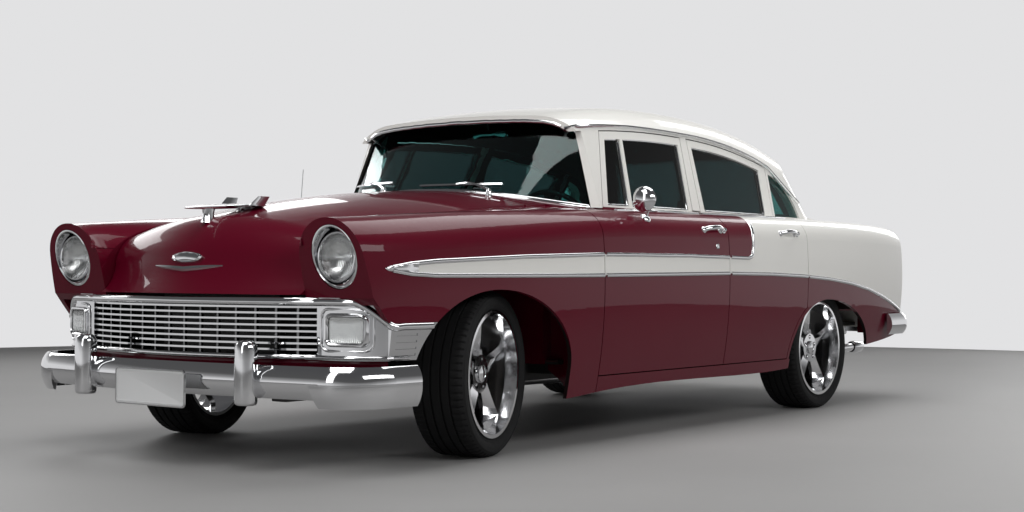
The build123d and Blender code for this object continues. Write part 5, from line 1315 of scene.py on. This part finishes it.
# Rear number plate, left blank; it stands off the lid far enough to clear its crown
rearPlate = {"z": 0.700,
             "face": [(0.150, 0.072, 0.010, 0.010), (0.152, 0.075, 0.011, 0.011),
                      (0.152, 0.075, 0.011, 0.0125), (0.148, 0.071, 0.009, 0.0130)],
             "frame": [(0.150, 0.073, 0.011, 0.011), (0.158, 0.081, 0.015, 0.008),
                       (0.160, 0.083, 0.016, 0.0125), (0.156, 0.079, 0.014, 0.0155),
                       (0.150, 0.073, 0.011, 0.0150)],
             "bracket": [(0.050, 0.030, 0.005, -0.004), (0.050, 0.030, 0.005, 0.011)]}
spot, out = rearHit(("trunk_lid",), 0.0, rearPlate["z"])
outwards = Vector((out.x, 0, out.z)).normalized()
upward = outwards.cross(alongY)
upward *= 1 if upward.z > 0 else -1
face, rim, bracket = (squareRings(spot, alongY, upward, outwards, rearPlate[part])
                      for part in ("face", "frame", "bracket"))
finishPiece(stackRings(face), "rearPlate", "trunk_lid", "plate")
finishPiece([layRows(rim, closed=True), stackRings(bracket)], "rearPlateFrame", "trunk_lid", "chrome")

# The trunk's handle with its lock
bootHandle = {"half": 0.115, "z": 0.840, "droop": 0.018, "off": 0.004,
              "lock": [(0.0, 0.024), (0.007, 0.024), (0.0085, 0.026), (0.012, 0.024), (0.014, 0.014),
                       (0.014, 0.0)]}
top, outwards = rearHit(("trunk_lid",), 0.0, bootHandle["z"])
upward = outwards.cross(alongY)
bar = []
for t in evenly(-1, 1, 24):
    z = bootHandle["z"] + bootHandle["droop"] * abs(t) ** 1.5
    spot, out = rearHit(("trunk_lid",), bootHandle["half"] * t, z)
    swell = (1 - abs(t) ** 2.2) ** 0.5
    bar.append(ovalRing(spot + out * bootHandle["off"], out * (0.016 * swell + 0.001),
                        upward * (0.017 * swell + 0.002), 16))
made = [stackRings(bar), spinProfile(bootHandle["lock"], top, outwards, 28)]
finishPiece(made, "bootHandle", "trunk_lid", "chrome")

# A bright tip on the exhaust pipe's end
exhaustTip = [(0.0215, 0.010), (0.0245, -0.010), (0.0300, -0.040), (0.0330, -0.100), (0.0345, -0.104),
              (0.0360, -0.100), (0.0350, 0.000), (0.0300, 0.012)]
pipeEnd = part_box("exhaust")[0][0]
ends = [vertex.co for vertex in nodes["exhaust"].data.vertices if vertex.co.x < pipeEnd + 0.002]
middle = sum(ends, Vector()) / len(ends)
tip = spinProfile(exhaustTip, (pipeEnd + 0.030, middle.y, middle.z), alongX, 36)
finishPiece(tip, "exhaustTip", "body", "chrome")
print("tail made")

# Benches: cushions and backs blown up as cloth, piping laid on them afterwards
benches = {
    "frontCushion": {"node": "front_seat", "half": 0.575,
                     "section": [(0.435, 0.415), (0.450, 0.50), (0.435, 0.565), (0.36, 0.588), (0.12, 0.580),
                                 (-0.045, 0.565), (-0.080, 0.50), (-0.070, 0.425), (0.20, 0.410)]},
    "frontBack": {"node": "front_seat", "half": 0.575,
                  "section": [(-0.020, 0.600), (-0.050, 0.75), (-0.090, 0.90), (-0.120, 0.965),
                              (-0.160, 0.985), (-0.200, 0.965), (-0.195, 0.88), (-0.165, 0.70),
                              (-0.145, 0.56), (-0.120, 0.47), (-0.060, 0.50)]},
    "rearCushion": {"node": "rear_seat", "half": 0.560,
                    "section": [(-0.470, 0.420), (-0.450, 0.50), (-0.470, 0.560), (-0.54, 0.582),
                                (-0.74, 0.572), (-0.895, 0.560), (-0.925, 0.50), (-0.910, 0.425),
                                (-0.70, 0.410)]},
    "rearBack": {"node": "rear_seat", "half": 0.560,
                 "section": [(-0.925, 0.590), (-0.960, 0.75), (-1.005, 0.90), (-1.035, 0.960),
                             (-1.075, 0.980), (-1.125, 0.960), (-1.130, 0.86), (-1.120, 0.70), (-1.095, 0.59),
                             (-1.03, 0.50), (-0.96, 0.52)]},
}
cushioning = {"voxel": 0.012, "pressure": 4.0, "cap": 0.024, "frames": 20}
piping = {"radius": 0.0045, "halfAcross": 0.505, "upShare": 0.78, "corner": 0.05,
          "backFacing": (0.93, 0, 0.36)}


def inflate(piece):
    addModifier(piece, "REMESH", mode="VOXEL", voxel_size=cushioning["voxel"])
    before = [vertex.co.copy() for vertex in piece.data.vertices]
    cloth = piece.modifiers.new("Cloth", "CLOTH")
    cloth.settings.use_pressure = True
    cloth.settings.uniform_pressure_force = cushioning["pressure"]
    cloth.settings.effector_weights.gravity = 0
    for number in range(1, cushioning["frames"] + 1):
        bpy.context.scene.frame_set(number)
    pickOnly(piece)
    bpy.ops.object.modifier_apply(modifier="Cloth")
    for vertex, start in zip(piece.data.vertices, before):
        move = vertex.co - start
        if move.length > cushioning["cap"]:
            vertex.co = start + move * (cushioning["cap"] / move.length)
    bpy.context.scene.frame_set(1)
    addModifier(piece, "SUBSURF", levels=1, render_levels=1)


def layPiping(pad, ring, middle, facing):
    # a rounded square of piping, dropped on the pad from the side it faces
    skin = BVHTree.FromPolygons([v.co.copy() for v in pad.data.vertices],
                                [list(face.vertices) for face in pad.data.polygons])
    middle = Vector((middle.x, 0, middle.z))
    along = alongY.cross(facing)
    halfUp = max((middle - point).dot(along) for point in ring) * piping["upShare"]
    loop = [middle + Vector((0, a, 0)) + along * b
            for a, b in roundedSquare(piping["halfAcross"], halfUp, piping["corner"], 5)]
    found = [skin.ray_cast(point + facing * 0.5, -facing)[:2]
             for point in tidyLine(loop + [loop[0]], 0.03)[:-1]]
    return sweepOn([hit for hit in found if hit[0] is not None], tubeShape(piping["radius"], 8), closed=True)


for name, bench in benches.items():
    ring = roundLine([(x, 0, z) for x, z in bench["section"]], 0.035, closed=True)
    middle = sum(ring, Vector()) / len(ring)
    rows = []
    for t in evenly(-1, 1, 32):
        # ends pull in like a boxed cushion's
        share = (1 - abs(t) ** 14) ** 0.35 if abs(t) < 1 else 0.0
        shift = Vector((0, bench["half"] * t, 0))
        rows.append([middle + (point - middle) * (0.35 + 0.65 * share) + shift for point in ring])
    pad = stackRings(rows)
    inflate(pad)
    finishPiece(pad, name, "body", "pleats", 60)
    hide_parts(bench["node"])
    facing = alongZ if "Cushion" in name else Vector(piping["backFacing"]).normalized()
    finishPiece(layPiping(pad, ring, middle, facing), f"{name}.piping", "body", "vinyl")

# Bench frames that carry the cushions either side of the tunnel
seatFrames = {"tunnel": 0.20, "corner": 0.04, "places": {"frontSeatFrame": (0.40, -0.14, 0.54),
                                                        "rearSeatFrame": (-0.50, -0.95, 0.50)},
              "stations": ((0.351, 0.0), (0.36, 0.012), (0.40, 0.016), (0.432, 0.010), (0.44, 0.0))}
for label, (front, back, half) in seatFrames["places"].items():
    made = []
    halfLong, halfWide = (front - back) / 2, (half - seatFrames["tunnel"]) / 2
    sizes = [(halfLong + grow, halfWide + grow, seatFrames["corner"], z)
             for z, grow in seatFrames["stations"]]
    for side in (1, -1):
        centre = ((front + back) / 2, side * (half + seatFrames["tunnel"]) / 2, 0)
        made.append(stackRings(squareRings(centre, alongX, alongY, alongZ, sizes)))
    finishPiece(made, label, "body", "chassis")
print("benches made")

# Door cards with armrests, cranks and handles
cards = {"front": {"x": (0.870, -0.200), "crank": (0.47, 0.76), "handle": (0.13, 0.80), "rest": (0.18, 0.66)},
         "rear": {"x": (-0.200, -1.040), "crank": (-0.42, 0.76), "handle": (-0.72, 0.80),
                  "rest": (-0.62, 0.66)}}
card = {"z": (0.335, 0.930), "inside": 0.83, "margin": 0.035, "off": 0.004,
        "lever": {"crank": 0.085, "handle": 0.070}, "rest": (0.15, 0.052, 0.024),
        "boss": [(0.0, 0.022), (0.010, 0.021), (0.014, 0.012), (0.024, 0.006), (0.026, 0.0)],
        "knob": [(0.0, 0.030), (0.006, 0.029), (0.009, 0.020), (0.007, 0.008), (0.006, 0.0)]}


def cardRows(node, span, side):
    # rows across the door's inner face, each as deep as its nearest place
    rows = []
    for z in evenly(*card["z"], 24):
        hits = []
        x = span[0]
        while x > span[1]:
            found = innerHit((node,), x, z, side)
            if found and abs(found[0].y) < card["inside"]:
                hits.append(found[0])
            x -= 0.02
        if len(hits) < 8:
            continue
        depth = side * (min(abs(hit.y) for hit in hits[2:-2]) - card["off"])
        ends = hits[0].x - card["margin"], hits[-1].x + card["margin"]
        rows.append([Vector((x, depth, z)) for x in evenly(*ends, 20)])
    return rows


def onCard(rows, x, z):
    row = min(rows, key=lambda one: abs(one[0].z - z))
    return Vector((x, row[0].y, z))


def armrest(base, inwards):
    long, out, tall = card["rest"]
    rings = []
    for t in evenly(-1, 1, 16):
        swell = (1 - abs(t) ** 4) ** 0.5 if abs(t) < 1 else 0.0
        ring = []
        for a in [math.pi * share for share in shares(12)]:
            proud = out * math.sin(a) ** 0.6 if 0 < a < math.pi else 0.0
            ring.append(base + Vector((long * t, 0, tall * math.cos(a) * (0.4 + 0.6 * swell)))
                        + inwards * (proud * (0.25 + 0.75 * swell)))
        rings.append(ring)
    return stackRings(rings)


for side, word in bodySides.items():
    inwards = alongY * -side
    for end, places in cards.items():
        node = f"{word}_{end}_door"
        rows = cardRows(node, places["x"], side)
        panel = layRows(rows)
        addModifier(panel, "SOLIDIFY", thickness=0.003, offset=0)
        finishPiece(panel, f"{node}Card", node, "vinylWine", 50)
        strip = [point + inwards * 0.003 for point in rows[len(rows) * 2 // 3][1:-1]]
        made = [sweepAlong(strip, stripShape(0.010, 0.007, 0.004), inwards)]
        for label, long in card["lever"].items():
            base = onCard(rows, *places[label])
            made.append(spinProfile(card["boss"], base, inwards, 28))
            line = [base + inwards * (0.018 + 0.012 * t) + Vector((-long * t, 0, -0.35 * long * t))
                    for t in (0, 0.33, 0.66, 1.0)]
            made.append(sweepAlong(line, stripShape(0.008, 0.007, 0.003, -0.003), inwards,
                                   taper=lambda t: 1.0 - 0.35 * t))
            if label == "crank":
                made.append(spinProfile(card["knob"], line[-1], inwards, 24))
        finishPiece(made, f"{node}Brights", node, "chrome")
        finishPiece(armrest(onCard(rows, *places["rest"]), inwards), f"{node}Armrest", node, "vinyl", 50)

# Dash: instrument cluster, radio, glovebox and a bright band
dash = {"foot": (0.600, 0.800), "brow": (0.560, 0.915), "out": (-0.9445, 0, -0.3286),
        "up": (-0.3286, 0, 0.9445), "clusterY": 0.37, "gloveboxY": -0.38, "middle": 0.55, "knobY": 0.072,
        "knob": [(0.0, 0.026), (0.010, 0.025), (0.012, 0.018), (0.014, 0.006), (0.014, -0.001)],
        "button": [(0.007, 0.005, 0.002, -0.001), (0.007, 0.005, 0.002, 0.008), (0.005, 0.003, 0.001, 0.010)],
        "lock": [(0.0, 0.016), (0.008, 0.015), (0.011, 0.006), (0.015, 0.0)],
        "cluster": [(0.160, 0.041, 0.040, -0.001), (0.159, 0.040, 0.039, 0.002),
                    (0.01, 0.004, 0.002, 0.0025)],
        "radio": [(0.060, 0.018, 0.006, -0.001), (0.059, 0.017, 0.005, 0.003), (0.01, 0.004, 0.002, 0.0035)]}
dashOut, dashUp = Vector(dash["out"]), Vector(dash["up"])


def onDash(y, share):
    # share goes from the foot of the dash's face to its brow
    (xFoot, zFoot), (xBrow, zBrow) = dash["foot"], dash["brow"]
    return Vector((xFoot + (xBrow - xFoot) * share, y, zFoot + (zBrow - zFoot) * share))


def dashPiece(centre, stations):
    return stackRings(squareRings(centre, alongY, dashUp, dashOut, stations))


def dashRing(y, halfAcross, halfUp, corner, wide=0.006, high=0.008):
    stations = [(halfAcross, halfUp, corner, -0.002), (halfAcross, halfUp, corner, high * 0.7),
                (halfAcross - wide * 0.4, halfUp - wide * 0.4, corner, high),
                (halfAcross - wide, halfUp - wide, corner * 0.8, high * 0.7),
                (halfAcross - wide, halfUp - wide, corner * 0.8, -0.002)]
    return layRows(squareRings(onDash(y, dash["middle"]), alongY, dashUp, dashOut, stations), closed=True)


made = [dashRing(dash["clusterY"], 0.165, 0.046, 0.044), dashRing(0.0, 0.095, 0.040, 0.010),
        dashRing(dash["gloveboxY"], 0.165, 0.046, 0.012, 0.004, 0.005)]
made += [spinProfile(dash["knob"], onDash(y, 0.45), dashOut, 24) for y in (-dash["knobY"], dash["knobY"])]
made += [dashPiece(onDash(y, 0.33), dash["button"]) for y in evenly(-0.040, 0.040, 4)]
made.append(spinProfile(dash["lock"], onDash(-0.26, dash["middle"]), dashOut, 24))
band = [onDash(y, 0.06) + dashOut * 0.001 for y in evenly(-0.66, 0.66, 12)]
made.append(sweepAlong(band, stripShape(0.006, 0.004, 0.004), dashOut))
finishPiece(made, "dashBrights", "body", "chrome")
faces = [dashPiece(onDash(dash["clusterY"], dash["middle"]), dash["cluster"]),
         dashPiece(onDash(0.0, 0.66), dash["radio"])]
finishPiece(faces, "dialFaces", "body", "dial")

# The speedometer's marks in an arc, and its needle
dialMarks = {"pivot": 0.30, "from": 20, "sweep": 140, "count": 18, "reach": (0.098, 0.052),
             "half": (0.0012, 0.0005), "long": 0.0042, "short": 0.0026}
pivot = onDash(dash["clusterY"], dialMarks["pivot"])
reachAcross, reachUp = dialMarks["reach"]
made = []
for k, t in enumerate(shares(dialMarks["count"])):
    a = math.radians(dialMarks["from"] + dialMarks["sweep"] * t)
    at = pivot + alongY * (reachAcross * math.cos(a)) + dashUp * (reachUp * math.sin(a))
    half, corner = dialMarks["half"]
    tall = dialMarks["long"] if k % 3 == 0 else dialMarks["short"]
    made.append(dashPiece(at + dashOut * 0.003, [(half, tall, corner, -0.001), (half, tall, corner, 0.001)]))
raised = pivot + dashOut * 0.005
made.append(sweepAlong([raised, raised + alongY * 0.05 + dashUp * 0.030], tubeShape(0.0014, 6), dashOut))
finishPiece(made, "dialMarks", "body", "plastic")

# Steering wheel: hub, horn ring on three spokes, levers and the column's shroud
steering = {"middle": (0.430, 0.370, 0.900), "tilt": 28, "ring": 0.128, "spokes": (0, 180, 270),
            "levers": ((-1, 0.17, 0.055), (1, 0.12, 0.020)),
            "hub": [(0.0, 0.030), (0.016, 0.029), (0.028, 0.024), (0.034, 0.018), (0.036, 0.020),
                    (0.044, 0.016), (0.047, 0.008), (0.047, 0.0)],
            "knob": [(0.0, 0.012), (0.006, 0.010), (0.009, 0.003), (0.009, -0.004), (0.005, -0.010),
                     (0.0, -0.011)],
            "shroud": [(0.0235, -0.185), (0.030, -0.175), (0.032, -0.10), (0.030, -0.05), (0.036, -0.030),
                       (0.034, -0.014), (0.0235, -0.012)]}
tilt = math.radians(steering["tilt"])
wheelOut, wheelUp = Vector((-math.cos(tilt), 0, math.sin(tilt))), Vector((math.sin(tilt), 0, math.cos(tilt)))
wheelMiddle = Vector(steering["middle"])
ring = ovalRing(wheelMiddle + wheelOut * 0.012, alongY * steering["ring"], wheelUp * steering["ring"], 48)
made = [sweepAlong(ring, tubeShape(0.0045), wheelOut, closed=True),
        spinProfile(steering["hub"], wheelMiddle, wheelOut, 40)]
for a in map(math.radians, steering["spokes"]):
    reach = alongY * math.cos(a) + wheelUp * math.sin(a)
    line = [wheelMiddle + wheelOut * 0.014 + reach * r for r in (0.040, 0.07, 0.10, 0.127)]
    made.append(sweepAlong(line, stripShape(0.006, 0.005, 0.003, -0.002), wheelOut))
for sign, long, lift in steering["levers"]:
    root = wheelMiddle - wheelOut * 0.085 + Vector((0, sign * 0.020, 0))
    arm = roundLine([root, root + Vector((0, sign * long * 0.5, lift * 0.6)),
                     root + Vector((-0.02, sign * long, lift))])
    made.append(sweepAlong(arm, tubeShape(0.0042, 8), alongX, taper=lambda t: 1.1 - 0.3 * t))
    made.append(spinProfile(steering["knob"], arm[-1], arm[-1] - arm[-2], 20))
finishPiece(made, "hornRingAndLevers", "body", "chrome")
finishPiece(spinProfile(steering["shroud"], wheelMiddle, wheelOut, 32), "columnShroud", "body", "wine")

# Mirror inside, over the dash
insideMirror = {"under": (0.50, 0.0, 1.15), "hang": ((0, 0, 0.004), (-0.012, 0, -0.03), (-0.03, 0, -0.062)),
                "centre": (-0.035, 0, -0.075), "back": (1, 0, 0.12),
                "shell": [(0.098, 0.022, 0.016, -0.006), (0.100, 0.024, 0.018, 0.0),
                          (0.096, 0.021, 0.015, 0.008), (0.04, 0.010, 0.006, 0.014)]}
spot = surfaceOf("roof", "fixed_glass").ray_cast(Vector(insideMirror["under"]), alongZ)[0]
stem = sweepAlong([spot + Vector(step) for step in insideMirror["hang"]], tubeShape(0.005), alongX)
lookAhead = Vector(insideMirror["back"]).normalized()
shell = squareRings(spot + Vector(insideMirror["centre"]), alongY, alongZ, lookAhead, insideMirror["shell"])
finishPiece([stem, stackRings(shell)], "insideMirror", "body", "chrome")
print("cabin dressed")

# Under the hood: rocker covers with ribs
rocker = {"x": (1.10, 1.68), "y": 0.175, "z": 0.868, "halfWide": 0.060, "tall": 0.044, "rib": 0.003,
          "section": ((-1, 0), (-1, 0.7), (-0.75, 1), (0, 1.06), (0.75, 1), (1, 0.7), (1, 0))}
made = []
for side in (1, -1):
    rows = []
    for k, t in enumerate(shares(20)):
        x = rocker["x"][0] + (rocker["x"][1] - rocker["x"][0]) * t
        swell = min(1.0, 12 * t, 12 * (1 - t)) ** 0.5 if 0 < t < 1 else 0.3
        wide, tall = rocker["halfWide"] * swell, (rocker["tall"] + (rocker["rib"] if k % 2 else 0.0)) * swell
        rows.append([Vector((x, side * rocker["y"] + wide * a, rocker["z"] + tall * b))
                     for a, b in rocker["section"]])
    made.append(stackRings(rows))
finishPiece(made, "rockerCovers", "body", "engineRed")

airCleaner = {"centre": (1.42, 0, 0.885),
              "profile": [(0.0, 0.062), (0.008, 0.062), (0.009, 0.052), (0.060, 0.050), (0.125, 0.047),
                          (0.138, 0.040), (0.138, 0.034), (0.128, 0.032), (0.128, 0.014), (0.136, 0.012),
                          (0.130, 0.004), (0.050, 0.002), (0.045, -0.012)]}
cleaner = spinProfile(airCleaner["profile"], airCleaner["centre"], alongZ, 56)
finishPiece(cleaner, "airCleaner", "body", "plastic")

# Cooling fan with four curved blades
fan = {"hubX": 1.985, "bladeX": 1.995, "z": 0.60, "blades": 4, "turned": 0.3,
       "radii": (0.040, 0.09, 0.15, 0.20),
       "hub": [(0.0, 0.030), (0.030, 0.028), (0.045, 0.018), (0.048, 0.0), (0.048, -0.09)]}
made = [spinProfile(fan["hub"], (fan["hubX"], 0, fan["z"]), alongX, 32)]
for a in angles(fan["blades"]):
    a += fan["turned"]
    reach, around = Vector((0, math.cos(a), math.sin(a))), Vector((0, -math.sin(a), math.cos(a)))
    rows = []
    for r in fan["radii"]:
        half = 0.026 + 0.12 * (r - 0.04)
        rows.append([Vector((fan["bladeX"] + 0.012 * c + 0.006 * c * c, 0, fan["z"])) + reach * r
                     + around * (half * c) for c in (-1, -0.5, 0, 0.5, 1)])
    blade = layRows(rows)
    addModifier(blade, "SOLIDIFY", thickness=0.002, offset=0)
    made.append(blade)
finishPiece(made, "coolingFan", "body", "chassis")

# Radiator hoses and cap
hoses = [(0.019, [(1.86, 0.06, 0.865), (1.95, 0.07, 0.875), (2.05, 0.10, 0.838), (2.125, 0.12, 0.815)]),
         (0.021, [(1.88, -0.10, 0.42), (1.97, -0.14, 0.40), (2.06, -0.18, 0.37), (2.125, -0.20, 0.365)])]
made = [sweepAlong(roundLine(points), tubeShape(radius, 14), Vector((0, 1, 0.01)))
        for radius, points in hoses]
finishPiece(made, "radiatorHoses", "body", "rubber")
radiatorCap = {"foot": (2.15, 0.0, 0.846),
               "profile": [(0.0, 0.022), (0.018, 0.022), (0.024, 0.018), (0.027, 0.010),
                                                       (0.027, 0.004), (0.020, 0.002), (0.020, -0.008)]}
cap = spinProfile(radiatorCap["profile"], radiatorCap["foot"], alongZ, 32)
finishPiece(cap, "radiatorCap", "body", "chrome")

# Battery on its shelf
battery = {"x": 1.88, "y": -0.350, "shelfY": -0.360, "postX": 0.055, "postZ": 0.832,
           "case": [(0.085, 0.060, 0.010, 0.640), (0.085, 0.060, 0.010, 0.800), (0.089, 0.064, 0.010, 0.806),
                    (0.089, 0.064, 0.010, 0.826), (0.085, 0.060, 0.010, 0.830)],
           "shelf": [(0.098, 0.074, 0.010, 0.630), (0.098, 0.074, 0.010, 0.642)],
           "post": [(0.0, 0.014), (0.007, 0.013), (0.008, 0.0), (0.012, -0.001), (0.012, -0.006)]}
made = [stackRings(squareRings((battery["x"], y, 0), alongX, alongY, alongZ, battery[part]))
        for part, y in (("case", battery["y"]), ("shelf", battery["shelfY"]))]
made += [spinProfile(battery["post"], (battery["x"] + step, battery["y"], battery["postZ"]), alongZ, 20)
         for step in (-battery["postX"], battery["postX"])]
finishPiece(made, "battery", "body", "plastic")
print("engine bay dressed")
